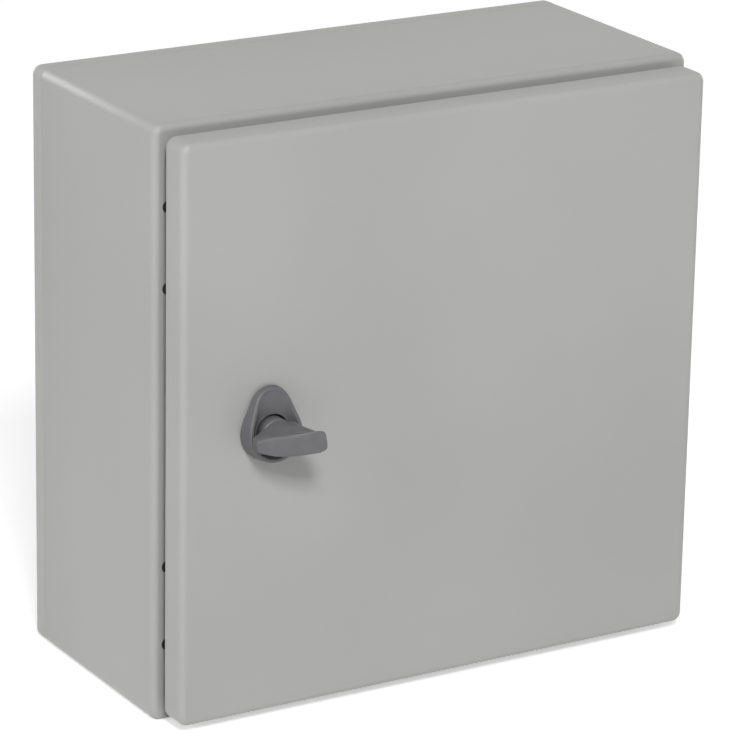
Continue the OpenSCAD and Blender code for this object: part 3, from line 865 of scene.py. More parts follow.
class Workshop:
    """Makes each finish's material once and places finished pieces on their bodies."""

    def __init__(self, palette: dict[Slot, Finish]) -> None:
        """Makes a material for every slot."""
        self.materials = {slot: finish.material(slot.value) for slot, finish in palette.items()}

    def place(self, made: bpy.types.Object, body: str, slot: Slot, *nodes: str) -> bpy.types.Object:
        """Gives a new piece its material, body and slot.

        Args:
            made: the piece.
            body: the body it rides on.
            slot: its material slot.
            nodes: the nodes that it stands for.

        Returns:
            The piece.
        """
        made.data.materials.clear()
        made.data.materials.append(self.materials[slot])
        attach(made, body)
        if nodes:
            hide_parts(*nodes)
        log.info("%s: %d faces on %s", made.name, len(made.data.polygons), body)
        return made

    def build(
        self, name: str, skins: Sequence[Skin], body: str, slot: Slot, *nodes: str,
        crease: float = 32.0, cutters: Sequence[Skin] = (),
    ) -> bpy.types.Object:
        """Makes a piece of skins, cuts its holes, shades it and places it.

        Args:
            name: the piece's name.
            skins: its closed skins.
            body: the body it rides on.
            slot: its material slot.
            nodes: the nodes that it stands for.
            crease: angle in degrees from which an edge is sharp.
            cutters: skins to cut out of it.

        Returns:
            The piece.
        """
        made = make_mesh(name, skins)
        if cutters:
            cut(made, cutters)
        shade(made.data, crease)
        return self.place(made, body, slot, *nodes)

    def dress(self, node: str, slot: Slot) -> None:
        """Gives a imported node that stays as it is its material."""
        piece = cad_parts[node]
        piece.data.materials.clear()
        piece.data.materials.append(self.materials[slot])
        log.info("%s: packed node with %s", node, slot.value)

    def soften(self, node: str, body: str, slot: Slot, width: float = 0.25) -> None:
        """Replaces a node by a copy of itself with broken edges."""
        self.place(softened(node, width), body, slot, node)


# ---- sub-assemblies ----


@dataclass
class Cabinet:
    """The body: a folded ring of sheet with a front flange and sealing lip, and a back panel.

    Attributes:
        sheet: sheet thickness.
        corner: outside corner radius, seen from the front.
        front_bend: outside radius of the bend into the front flange.
        back_bend: outside radius of the bend into the back.
        lip_inset: from the body's side to the outside of the sealing lip.
        lip_corner: outside corner radius of the lip.
        lip_height: height of the lip above the flange.
        wall_hole: diameter of the four wall holes.
        wall_pitch: distance between them, both ways.
        gland_overlap: how far the gland plate reaches past its opening.
        gland_corner: corner radius of that opening.
        screw_hole: radius of the holes for the hinges' screws.
        plug_hole: radius of the plugged holes.
        body: the body that the pieces ride on.
    """

    sheet: float = 1.5
    corner: float = 5.0
    front_bend: float = 3.5
    back_bend: float = 4.2
    lip_inset: float = 21.0
    lip_corner: float = 6.0
    lip_height: float = 12.0
    wall_hole: float = 9.0
    wall_pitch: float = 250.0
    gland_overlap: float = 12.0
    gland_corner: float = 5.0
    screw_hole: float = 2.2
    plug_hole: float = 2.5
    body: str = "enclosure"

    def half_sizes(self) -> tuple[float, float]:
        """Half the outside width and height."""
        low, high = millimetres("body_shell")
        return high[0], high[2]

    def shell_profile(self) -> np.ndarray:
        """Section of the body's wall as a loop of (inset from the side, distance from the wall)."""
        low, high = millimetres("body_shell")
        rear, lip_top = -high[1], -low[1]
        t = self.sheet
        front = lip_top - self.lip_height
        b, inset = self.front_bend, self.lip_inset
        root, fold = 0.6, 2.1
        return path(
            [[EDGE, rear], [EDGE_MID, rear + EDGE_MID], [0, rear + EDGE], [0, front - b - HOLD]],
            arc((b, front - b), b, 180, 90, 8),
            [[b + HOLD, front], [inset - root - HOLD, front]],
            arc((inset - root, front + root), root, 270, 360, 4),
            [[inset, front + root + HOLD], [inset, lip_top - EDGE - HOLD]],
            arc((inset + EDGE, lip_top - EDGE), EDGE, 180, 90, 3),
            arc((inset + t - EDGE, lip_top - EDGE), EDGE, 90, 0, 3),
            [[inset + t, lip_top - EDGE - HOLD], [inset + t, front - t + fold + HOLD]],
            arc((inset + t - fold, front - t + fold), fold, 0, -90, 6),
            [[inset + t - fold - HOLD, front - t], [b + HOLD, front - t]],
            arc((b, front - b), b - t, 90, 180, 6),
            [[t, front - b - HOLD], [t, rear + EDGE], [t - EDGE, rear]],
        )

    def shell(self) -> Skin:
        """Carries the wall's section round the body.

        The corner radius of each ring is read from straight lines through the radii at the side,
        at the end of the front bend and at both sides of the lip.
        """
        section = self.shell_profile()
        half_w, half_h = self.half_sizes()
        inset = section[:, 0]
        places = [0, self.front_bend, self.lip_inset, self.lip_inset + self.sheet]
        bend, lip = self.corner - self.front_bend, self.lip_corner
        radii = np.interp(inset, places, [self.corner, bend, lip, lip - self.sheet])
        rings = rounded_rings(half_w - inset, half_h - inset, radii)
        return skin(upright(rings, section[:, 1]), looped=True)

    def tray(self) -> Skin:
        """The back panel: its section runs from the middle outside over the rim to the inside."""
        rim, b, t = -millimetres("back_panel")[0][1], self.back_bend, self.sheet
        section = path(
            [[b + HOLD, 0]],
            arc((b, b), b, 270, 180, 8),
            [[0, b + HOLD], [0, rim - EDGE], [EDGE_MID, rim - EDGE_MID], [EDGE, rim]],
            [[t - EDGE, rim], [t, rim - EDGE]],
            arc((b, b), b - t, 180, 270, 6),
            [[b + HOLD, t]],
        )
        half_w, half_h = self.half_sizes()
        inset = section[:, 0]
        rings = rounded_rings(half_w - inset, half_h - inset, np.maximum(self.corner - inset, 0.4))
        return skin(upright(rings, section[:, 1]))

    def gland_opening(self) -> Skin:
        """Cutter for the gland opening: a rounded rectangle that runs through the floor's sheet."""
        low, high = millimetres("gland_plate")
        half = (high - low) / 2 - self.gland_overlap
        rings = rounded_rings(half[[0, 0]], half[[1, 1]], np.full(2, self.gland_corner), 6)
        z = -self.half_sizes()[1] + np.array([-1.0, self.sheet + 1.0])
        level = np.broadcast_to(z[:, None], rings.shape[:2])
        y = rings[..., 1] + (low[1] + high[1]) / 2
        return skin(np.stack([rings[..., 0], y, level], axis=-1))

    def drill(self, x: float, z: float, radius: float, low: float, high: float) -> Skin:
        """Cutter for a round hole at (x, z) between two distances from the wall."""
        rows = turned(np.array([[radius, low], [radius, high]]), 40)
        return skin(stand(rows, (x, 0, z), Facing.FRONT))

    def build(self, shop: Workshop) -> None:
        """Makes the body shell with its openings and the back panel with its wall holes."""
        front = -millimetres("hinge_bracket_upper")[1][1]
        paint = Slot.BODY_PAINT
        radii = {"hinge_screws": self.screw_hole, "flange_plugs": self.plug_hole}
        holes = [
            self.drill(seat.foot[0], seat.foot[2], radius, front - 4, front + 2)
            for node, radius in radii.items() for seat in seats(node, Facing.FRONT)
        ]
        shop.build("cabinet_shell", [self.shell()], self.body, paint, "body_shell",
                   cutters=[self.gland_opening(), *holes])
        half = self.wall_pitch / 2
        drills = [
            self.drill(sx * half, sz * half, self.wall_hole / 2, -1, self.sheet + 1)
            for sx in (-1, 1) for sz in (-1, 1)
        ]
        shop.build("cabinet_back", [self.tray()], self.body, paint, "back_panel", cutters=drills)


@dataclass
class Door:
    """The folded door with its gasket.

    Attributes:
        sheet: sheet thickness.
        corner: outside corner radius, seen from the front.
        bend: outside radius of the bend round its face.
        notch_room: room past the head of a hinge pin in the notch of the door's rim.
        notch_depth: depth of that notch.
        barrel: diameter of the lock's hole.
        barrel_flats: size of that hole across its flats.
        lip_corner: corner radius of the sealing lip.
        bead: half width of the gasket.
        groove: depth of the groove that the lip presses into it.
        body: the body that the pieces ride on.
    """

    sheet: float = 1.5
    corner: float = 5.0
    bend: float = 3.5
    notch_room: float = 0.8
    notch_depth: float = 2.1
    barrel: float = 22.4
    barrel_flats: float = 20.6
    lip_corner: float = 6.0
    bead: float = 5.0
    groove: float = 0.9
    body: str = "door"

    def shell(self) -> Skin:
        """Carries the door's section from the middle of its face over its rim to its inner face."""
        low, high = millimetres("door_shell")
        face, rim = -low[1], -high[1]
        b, t = self.bend, self.sheet
        middle = b + 30
        section = path(
            [[middle, face], [b + HOLD, face]],
            arc((b, face - b), b, 90, 180, 10),
            [[0, face - b - HOLD], [0, rim + EDGE + HOLD], [0, rim + EDGE]],
            [[EDGE_MID, rim + EDGE_MID], [EDGE, rim], [t - EDGE, rim], [t, rim + EDGE]],
            [[t, face - b - HOLD]],
            arc((b, face - b), b - t, 180, 90, 6),
            [[b + HOLD, face - t], [middle, face - t]],
        )
        inset = section[:, 0]
        half = (high - low) / 2
        radius = np.where(inset < b, self.corner - inset, self.corner - b + (inset - b) * 0.3)
        return skin(upright(rounded_rings(half[0] - inset, half[2] - inset, radius), section[:, 1]))

    def notch(self, pin: str, leaf: str) -> Skin:
        """Cutter for the notch in the rim that clears one hinge's knuckles."""
        low, high = millimetres("door_shell")
        mid = sum(millimetres(leaf))[2] / 2
        half = millimetres(pin)[1][2] - mid + self.notch_room
        sizes = (self.notch_depth / 2 + 1, half, 0.3)
        rings = rounded_rings(*(np.full(2, size) for size in sizes), 2)
        rings[..., 0] += high[0] - self.notch_depth / 2 + 1
        rings[..., 1] += mid
        return skin(upright(rings, np.array([-high[1] - 1, -low[1] - self.bend])))

    def lock_hole(self) -> Skin:
        """Cutter for the lock's hole: a circle that is held to its flats, r = flats / 2 / |cos|."""
        centre = sum(millimetres("lock_nut")) / 2
        face = -millimetres("door_shell")[0][1]
        angle = around(96)
        flat = self.barrel_flats / 2 / np.maximum(np.abs(np.cos(angle)), 1e-6)
        ring = centre[[0, 2]] + polar(np.minimum(self.barrel / 2, flat), angle)
        return skin(upright(np.stack([ring, ring]), np.array([face - self.sheet - 1, face + 1])))

    def gasket(self) -> Skin:
        """Foamed bead round the door.

        Across the bead, with a from 0 to half a turn, the offset from its middle line is
        -bead * cos(a) and the height is full * sin(a) ** 0.3, less a soft groove where the lip
        presses.
        """
        low, high = millimetres("door_gasket")
        a = np.linspace(0.0, math.pi, 41)
        offset = -self.bead * np.cos(a)
        pressed = self.groove * np.exp(-((offset / 1.1) ** 2))
        height = (high[1] - low[1] - 0.02) * np.sin(a).clip(0) ** 0.3 - pressed
        mid = (high - low) / 2 - self.bead
        rings = rounded_rings(mid[0] + offset, mid[2] + offset, self.lip_corner + offset)
        return skin(upright(rings, -low[1] - height), looped=True)

    def build(self, shop: Workshop) -> None:
        """Makes the door with its notches and lock hole, and the gasket."""
        cutters = [self.notch(f"hinge_pin_{end}", f"hinge_leaf_{end}") for end in ENDS]
        shop.build("door_panel", [self.shell()], self.body, Slot.DOOR_PAINT, "door_shell",
                   cutters=[*cutters, self.lock_hole()])
        shop.build("door_bead", [self.gasket()], self.body, Slot.FOAM, "door_gasket", crease=50)


@dataclass
class Fasteners:
    """Studs, nuts and washers, each made where its node has a solid.

    Attributes:
        shop: the workshop that makes them.
    """

    shop: Workshop

    def studs(self, node: str, body: str, slot: Slot, facing: Facing, pitch: float) -> None:
        """Replaces a node of plain rods by threaded rods of the same length and thickness."""
        skins = [
            seat.skin(threaded_rod(seat.radius, seat.length, pitch)) for seat in seats(node, facing)
        ]
        self.shop.build(node + "_threaded", skins, body, slot, node, crease=40)

    def nuts(
        self, node: str, body: str, slot: Slot, facing: Facing, bore: float, flange: float = 0.0
    ) -> None:
        """Replaces a node of nuts.

        Args:
            node: the node.
            body: the body it rides on.
            slot: its material slot.
            facing: the way the nuts point.
            bore: radius of their bores.
            flange: height of the round foot that each nut stands on, or 0.
        """
        skins = []
        for seat in seats(node, facing):
            flats = hexagon_flats(bore) if flange else min(seat.across)
            skins.append(seat.skin(hex_nut(flats, seat.length, bore), looped=True))
            if flange:
                rim, top = max(seat.across) / 2, flange + 0.2
                profile = [[rim - 0.7, 0], [rim, 0.25], [rim, 0.6], [flats / 2 - 0.1, top],
                           [bore + 0.1, top], [bore + 0.1, 0]]
                skins.append(seat.skin(turned(np.array(profile), 48), looped=True))
        self.shop.build(node + "_hexagon", skins, body, slot, node, crease=28)

    def washers(self, node: str, body: str, slot: Slot, facing: Facing, bore: float) -> None:
        """Replaces a node of washers by turned rings with broken edges."""
        skins = [
            seat.skin(washer(bore, seat.radius, seat.length), looped=True)
            for seat in seats(node, facing)
        ]
        self.shop.build(node + "_turned", skins, body, slot, node, crease=28)


@dataclass
class Inside:
    """Mounting plate, gland plate and earth points with their fasteners.

    Attributes:
        main_pitch: thread pitch of the plate's and the earth studs.
        main_bore: radius of their nuts' bores.
        gland_pitch: thread pitch of the gland studs.
        gland_bore: radius of their nuts' bores.
        washer_bore: radius of the washers' bores.
        standoff: height of the plate studs' shoulders.
        break_edge: chamfer of those shoulders.
        body: the body that the pieces ride on.
    """

    main_pitch: float = 1.0
    main_bore: float = 3.0
    gland_pitch: float = 0.8
    gland_bore: float = 2.5
    washer_bore: float = 3.2
    standoff: float = 12.0
    break_edge: float = 0.4
    body: str = "enclosure"

    def plate_studs(self) -> list[Skin]:
        """Shouldered studs: a plain standoff under a thread."""
        skins = []
        bore, top, chamfer = self.main_bore, self.standoff, self.break_edge
        for seat in seats("plate_studs", Facing.FRONT):
            wide = seat.radius
            collar = [[bore, 0], [wide - chamfer, 0], [wide, chamfer], [wide, top - chamfer],
                      [wide - chamfer, top], [bore, top]]
            skins.append(seat.skin(turned(np.array(collar), 40)))
            rod = threaded_rod(bore, seat.length - top, self.main_pitch)
            rod[..., 2] += top
            skins.append(seat.skin(rod))
        return skins

    def build(self, shop: Workshop, hardware: Fasteners) -> None:
        """Makes the plates and all their fasteners."""
        body, zinc, brass = self.body, Slot.ZINC, Slot.BRASS
        shop.soften("mounting_plate", body, Slot.GALVANISED, 0.2)
        shop.build("plate_studs_shouldered", self.plate_studs(), body, Slot.STUD, "plate_studs",
                   crease=40)
        hardware.washers("plate_washers", body, zinc, Facing.FRONT, self.washer_bore)
        hardware.nuts("plate_nuts", body, zinc, Facing.FRONT, self.main_bore)
        shop.soften("gland_plate", body, Slot.BODY_PAINT, 0.3)
        shop.soften("gland_gasket", body, Slot.FOAM, 0.2)
        hardware.studs("gland_studs", body, Slot.STUD, Facing.UP, self.gland_pitch)
        hardware.nuts("gland_nuts", body, zinc, Facing.UP, self.gland_bore, flange=1.0)
        for place, rides, facing in (("body", body, Facing.UP), ("door", "door", Facing.BACK)):
            hardware.studs(f"{place}_earth_stud", rides, brass, facing, self.main_pitch)
            hardware.washers(f"{place}_earth_washer", rides, brass, facing, self.washer_bore)
            hardware.nuts(f"{place}_earth_nut", rides, brass, facing, self.main_bore)


@dataclass
class Hinges:
    """Two hinges with their pins, screws, studs and nuts, and the plugs of the free flange.

    Attributes:
        thread: radius of the screws' and studs' threads.
        pitch: pitch of those threads.
        pin: radius of a pin.
        pin_head: height of its head.
        plate: thickness of a bracket, which a screw's head sinks into.
        socket: size across the flats of a screw's socket.
        plug_rim: height of a plug's round cap.
    """

    thread: float = 2.0
    pitch: float = 0.7
    pin: float = 2.0
    pin_head: float = 1.2
    plate: float = 2.0
    socket: float = 2.5
    plug_rim: float = 0.7

    def pin_skin(self, node: str) -> Skin:
        """A pin with a domed head and a rounded end, turned about its upright axis."""
        seat = seats(node, Facing.UP)[0]
        r, head, tall = self.pin, seat.radius, seat.length
        neck = tall - self.pin_head
        profile = path(
            [[0.25, 0], [r - 0.9, 0.08]], arc((r - 0.6, 0.6), 0.6, -70, 0, 4),
            [[r, 1.0], [r, neck - 0.1], [r, neck], [head - 0.15, neck], [head, neck + 0.15]],
            arc((head - 0.7, tall - 0.7), 0.7, 0, 80, 5), [[0.25, tall]],
        )
        return seat.skin(turned(profile, 40))

    def screw(self, seat: Seat) -> Skin:
        """A countersunk screw: a thread, a cone and a flat head with a hexagon socket."""
        length, head, columns = seat.length, seat.radius, 48
        shank = length - self.plate
        rod = threaded_rod(self.thread, shank, self.pitch, columns)[::-1]
        rod[..., 2] = shank - rod[..., 2]
        cone = [[self.thread - 0.05, shank], [head - 0.15, length - 0.2], [head, length - 0.05],
                [head - 0.1, length], [1.6, length]]
        angle = around(columns)
        edge = hexagon_radius(angle, self.socket)
        steps = ((1.05, 0.0), (1.0, 0.12), (1.0, 1.3), (0.9, 1.45))
        socket = np.stack([polar(edge * share, angle, length - down) for share, down in steps])
        return seat.skin(np.concatenate([rod, turned(np.array(cone), columns), socket]))

    def plug(self, seat: Seat) -> Skin:
        """A snap-in plug: a low dome over a round stem."""
        rim, tall = seat.radius, seat.length
        stem, dome = rim - 0.72, tall - self.plug_rim
        cap = arc((rim - EDGE, dome + 0.2), EDGE, 0, 84, 7)
        crown = [[rim * k, tall - 0.25 * k ** 2] for k in (0.85, 0.6, 0.35, 0.12)]
        profile = path([[stem - 0.3, 0], [stem, 0.3], [stem, dome], [rim - 0.1, dome]], cap, crown)
        return seat.skin(turned(profile, 40))

    def build(self, shop: Workshop, hardware: Fasteners) -> None:
        """Makes brackets, leaves, pins, screws, nuts and plugs."""
        body, door, zinc = "enclosure", "door", Slot.ZINC
        for end in ENDS:
            shop.soften(f"hinge_bracket_{end}", body, Slot.HINGE, 0.35)
            shop.soften(f"hinge_leaf_{end}", door, Slot.HINGE, 0.35)
            pin = f"hinge_pin_{end}"
            shop.build(pin + "_turned", [self.pin_skin(pin)], body, Slot.STUD, pin)
        screws = [self.screw(seat) for seat in seats("hinge_screws", Facing.FRONT)]
        shop.build("hinge_screws_socket", screws, body, zinc, "hinge_screws", crease=30)
        hardware.nuts("hinge_nuts", body, zinc, Facing.FRONT, self.thread)
        hardware.studs("leaf_studs", door, Slot.STUD, Facing.BACK, self.pitch)
        hardware.nuts("leaf_nuts", door, zinc, Facing.BACK, self.thread)
        plugs = [self.plug(seat) for seat in seats("flange_plugs", Facing.FRONT)]
        shop.build("flange_plug_caps", plugs, body, Slot.BLACK, "flange_plugs")


@dataclass
class Lock:
    """Quarter-turn lock: a drop-shaped head with a wing knob in front, and a cam behind.

    Attributes:
        big: radius of the head's round end, about the lock's axis.
        small: radius of its narrow end.
        offset: distance of the narrow end's centre above the axis.
        thin: depth of the head at the top of its narrow end.
        draft: how far the head's walls lean inwards over their full depth.
        rim: width of the rim round the dish.
        floor: thickness of the head under the dish, at the well.
        well: radius of the well round the knob's hub.
        bore: radius of the spindle's bore.
        barrel: radius of the threaded barrel.
        flats: size of the barrel across its flats.
        pitch: pitch of the barrel's thread.
        hub: radius of the knob's hub.
        turn: how far the knob stands turned at rest, anticlockwise from level, in degrees.
        reach: half the wing's length.
        back_r: radius of the wing's round back.
        back_x: distance of that radius' centre to the right of the axis.
        hollow_r: radius of the hollow at the wing's right end.
        hollow: how far that hollow cuts in.
        nose: radius at the wing's tip.
        square: power that makes the wing's rings boxes with round corners.
        ends: half thickness of the wing at its left end and at its right end.
        thick: half thickness of its middle, seen from the front.
        groove: depth of the groove behind the band along the wing's round back.
        groove_at: distance of that groove from the back.
        waist: how far the flanks draw in near the right end.
        fade: share of the wing's height over which it swells to the hub.
        bolt: radius of the cam screw's thread.
        bolt_pitch: its pitch.
        bolt_head: height of its head.
    """

    big: float = 15.3
    small: float = 10.7
    offset: float = 11.6
    thin: float = 3.2
    draft: float = 1.0
    rim: float = 2.2
    floor: float = 4.0
    well: float = 8.7
    bore: float = 5.1
    barrel: float = 11.0
    flats: float = 20.2
    pitch: float = 1.5
    hub: float = 7.8
    turn: float = 10.0
    reach: float = 14.2
    back_r: float = 44.0
    back_x: float = 21.5
    hollow_r: float = 28.0
    hollow: float = 3.7
    nose: float = 0.9
    square: float = 0.38
    ends: tuple[float, float] = (4.4, 3.8)
    thick: float = 6.1
    groove: float = 0.9
    groove_at: float = 3.5
    waist: float = 1.8
    fade: float = 0.6
    bolt: float = 2.0
    bolt_pitch: float = 0.7
    bolt_head: float = 2.8

    def axis(self) -> np.ndarray:
        """The lock's axis as (x, z)."""
        return sum(millimetres("lock_nut"))[[0, 2]] / 2

    def drop_rings(self, grow: Sequence[float]) -> np.ndarray:
        """Drop-shaped rings: a large and a small arc joined by their common tangents.

        The tangents leave both circles at the angle lean = asin((big - small) / offset) above the
        level, so the small arc runs from lean to half a turn less lean, and the big one on round.

        Args:
            grow: how far each ring lies outside the head's outline.

        Returns:
            Array of rings of points (x, z) about the axis, anticlockwise.
        """
        grow = np.asarray(grow, float)[:, None]
        lean = math.asin((self.big - self.small) / self.offset)
        top = np.linspace(lean, math.pi - lean, 29)
        foot = np.linspace(math.pi - lean, 2 * math.pi + lean, 57)
        stops = np.array([0.03, 0.35, 0.65, 0.97])[None, :, None]
        small, big = self.small + grow, self.big + grow
        upper = np.array([0.0, self.offset]) + polar(small, top)
        lower = polar(big, foot)
        left = upper[:, -1:] + (lower[:, :1] - upper[:, -1:]) * stops
        right = lower[:, -1:] + (upper[:, :1] - lower[:, -1:]) * stops
        return np.concatenate([upper, left, lower, right], axis=1)

    def directions(self) -> np.ndarray:
        """Direction of each point of a drop ring as seen from the axis, in radians."""
        ring = self.drop_rings([0.0])[0]
        return np.arctan2(ring[:, 1], ring[:, 0])

    def round_rings(self, radii: Sequence[float]) -> np.ndarray:
        """Circles about the axis whose points lie in the drop rings' directions."""
        return polar(np.asarray(radii, float)[:, None], self.directions())

    def barrel_rings(self, depth: np.ndarray, root: float) -> np.ndarray:
        """Rings of the barrel: the thread's radius, held to the flats by r = flats / 2 / |cos|.

        Args:
            depth: the rings' distances from the wall.
            root: distance from the wall at which the thread ends.

        Returns:
            Array of rings of points (x, z) about the axis.
        """
        angle = self.directions()
        depth = depth[:, None]
        r = self.barrel - thread_drop(depth, angle, self.pitch, THREAD_DEPTH * self.pitch)
        r = np.minimum(r, self.barrel - 0.9 + (depth - depth[0]))
        r = np.where(depth > root, self.barrel - 0.45, r)
        return polar(np.minimum(r, self.flats / 2 / np.maximum(np.abs(np.cos(angle)), 1e-6)), angle)

    def housing(self) -> Skin:
        """The head and barrel as one loop of rings.

        Up the bore, over the well and the dish, over the round rim, down the outside, under the
        head and down the threaded barrel, back to the bore. The rim stands at full depth round the
        knob and falls evenly to its thin end above it. The dish's rings lie on straight lines from
        the well to the rim, and it rises as 1 - cos of a quarter turn.
        """
        low, high = millimetres("lock_housing")
        front, rear = -low[1], -high[1]
        back = -millimetres("lock_seal")[0][1]
        floor = back + self.floor
        well = -millimetres("wing_knob")[1][1] - 0.5
        inner, outer, foot = 0.7, 1.0, 0.3
        plain, drafted = self.drop_rings([0.0]), self.drop_rings([-1.0])
        up = plain[0, :, 1] / (self.offset + self.small)
        up = (up + np.hypot(up, 0.12)) / 2
        crest = front - (front - back - self.thin) * np.minimum(up, 1.0)
        level = np.zeros_like(crest)
        lip = np.radians(np.linspace(50, 90, 4))[:, None]
        turn = np.radians(np.linspace(0, 90, 6))[:, None]
        wide = self.well
        bore = self.round_rings([self.bore, self.bore, wide - 0.2, wide, wide, wide + EDGE])
        bore_d = np.array([rear + foot, well, well, well + 0.2, floor - EDGE, floor])
        lean = self.draft * (crest - back) / (front - back)
        inset = np.concatenate([
            lean + self.rim - inner + inner * np.cos(lip),
            lean + outer - outer * np.sin(turn),
            [level, level + foot],
        ])[..., None]
        head = plain * (1 - inset) + drafted * inset
        head_d = np.concatenate([
            crest - inner + inner * np.sin(lip),
            crest - outer + outer * np.cos(turn),
            [level + back + foot, level + back],
        ])
        sweep = np.linspace(0, 1, 16)[1:-1, None]
        dish = bore[-1] + (head[0] - bore[-1]) * sweep[..., None]
        dish_d = floor + (head_d[0] - floor) * (1 - np.cos(sweep * math.pi / 2))
        thread_d = np.arange(rear, back - 0.05, self.pitch / 7)
        thread = self.barrel_rings(thread_d, back - 1.5)
        rings = np.concatenate([bore, dish, head, thread[::-1]])
        depth = np.concatenate(
            [bore_d[:, None] + level, dish_d, head_d, thread_d[::-1, None] + level]
        )
        return skin(upright(rings + self.axis(), depth), looped=True)

    def wing_half(self, x: np.ndarray, from_back: np.ndarray, rise: np.ndarray) -> np.ndarray:
        """Half thickness of the wing at a point.

        At the round back it follows the front view: slimmer at both ends. Behind that band runs a
        groove of depth groove * u * exp(1 - u), with u = from_back / groove_at. Near the right end
        the flanks draw in, and towards the foot the middle swells to sqrt(hub ** 2 - x ** 2).

        Args:
            x: distance to the right of the axis.
            from_back: distance from the round back, along x.
            rise: 0 at the foot of the wing and 1 at its tip.

        Returns:
            Half thickness in millimetres.
        """
        end = self.reach
        places = [-end, -end + 6.0, end - 4.2, end - 1.2, end]
        front = np.interp(x, places, [self.ends[0], self.thick, self.thick, 5.0, self.ends[1]])
        u = from_back / self.groove_at
        groove = self.groove * u * np.exp(1 - u) * np.clip(1.1 - rise, 0, 1)
        waist = self.waist * np.clip((x - 1) / 11, 0, 1) * np.clip(from_back / 8, 0, 1)
        slim = front - groove - waist
        hub = np.sqrt(np.maximum((self.hub - 0.2) ** 2 - x ** 2, 0.0))
        return slim + np.maximum(hub - slim, 0.0) * np.clip(1 - rise / self.fade, 0, 1) ** 1.5

    def wing(self) -> Skin:
        """The knob as rings from the hub's back to the wing's tip.

        The wing's left end follows a round back, x = back_x - sqrt(back_r ** 2 - (d - d0) ** 2),
        and its right end a hollow, x = x0 - sqrt(hollow_r ** 2 - (d - d1) ** 2), then a nose of
        radius nose that touches the round back from inside. Across it a ring is a rounded box: x
        and z follow the signed powers of cos and sin.
        """
        low, high = millimetres("wing_knob")
        tip, hub_back = -low[1], -high[1]
        foot = -millimetres("lock_housing")[0][1] + 0.5
        end = self.reach
        angle = around(96)
        c, s = (np.sign(v) * np.abs(v) ** self.square for v in (np.cos(angle), np.sin(angle)))
        middle = tip - math.sqrt(self.back_r ** 2 - (self.back_x - end) ** 2)
        nose_x = end - self.nose
        nose_d = middle + math.sqrt((self.back_r - self.nose) ** 2 - (self.back_x - nose_x) ** 2)
        meet = math.acos((self.back_x - nose_x) / (self.back_r - self.nose))
        start = math.acos((self.back_x + end) / self.back_r)
        back_d = middle + self.back_r * np.sin(np.linspace(start, meet, 34))
        d = np.concatenate([np.linspace(foot + 0.15, back_d[0], 7)[:-1], back_d])
        left = np.maximum(self.back_x - np.sqrt(self.back_r ** 2 - (d - middle) ** 2), -end)
        bulge = self.hollow_r - np.sqrt(self.hollow_r ** 2 - (d - foot - 5) ** 2)
        right = np.minimum(end - self.hollow + bulge, end)
        over = np.clip(d - nose_d, 0, self.nose)
        right = np.minimum(right, nose_x + np.sqrt(self.nose ** 2 - over ** 2))
        mid, half = (left + right)[:, None] / 2, (right - left)[:, None] / 2
        rise = ((d - foot) / (tip - foot))[:, None]
        x = mid + half * c
        thick = self.wing_half(x, x - left[:, None], rise)
        shrink = np.ones_like(rise)
        shrink[0], shrink[-2], shrink[-1] = 0.97, 0.97, 0.9
        rings = np.stack([mid + half * c * shrink, thick * s * shrink], axis=-1)
        hub_r = self.hub - np.array([0.5, 0.0, 0.0, 0.12, 0.4, 0.9])[:, None]
        hub_d = [hub_back, hub_back + 0.5, foot - 1.1, foot - 0.8, foot - 0.6, foot - 0.45]
        rings = spun(np.concatenate([polar(hub_r, angle), rings]), self.turn)
        return skin(upright(rings + self.axis(), np.concatenate([hub_d, d])))

    def cam_bolt(self) -> list[Skin]:
        """The hexagon screw that holds the cam, turned with the knob."""
        seat = seats("cam_screw", Facing.BACK)[0]
        length = seat.length - self.bolt_head
        head = hex_body(hexagon_flats(self.bolt), self.bolt_head, chamfer_low=False)
        rod = threaded_rod(self.bolt, length, self.bolt_pitch)
        rod[..., 2] = length - rod[..., 2]
        head[..., 2] += length
        return [seat.skin(spun(part, -self.turn)) for part in (head, rod)]

    def build(self, shop: Workshop, hardware: Fasteners) -> None:
        """Makes the lock's pieces."""
        door, knob, zinc = "door", "knob", Slot.ZINC
        shop.build("lock_head", [self.housing()], door, Slot.GREY, "lock_housing", crease=38)
        shop.build("wing_grip", [self.wing()], knob, Slot.GREY, "wing_knob", crease=48)
        shop.soften("lock_seal", door, Slot.FOAM, 0.15)
        hardware.nuts("lock_nut", door, zinc, Facing.BACK, self.barrel)
        shop.soften("lock_spindle", knob, zinc, 0.25)
        shop.dress("spindle_ring", Slot.FOAM)
        shop.soften("lock_cam", knob, zinc, 0.4)
        hardware.washers("cam_washer", knob, zinc, Facing.BACK, self.bolt + 0.2)
        shop.build("cam_screw_hexagon", self.cam_bolt(), knob, zinc, "cam_screw", crease=28)


# ---- studio ----


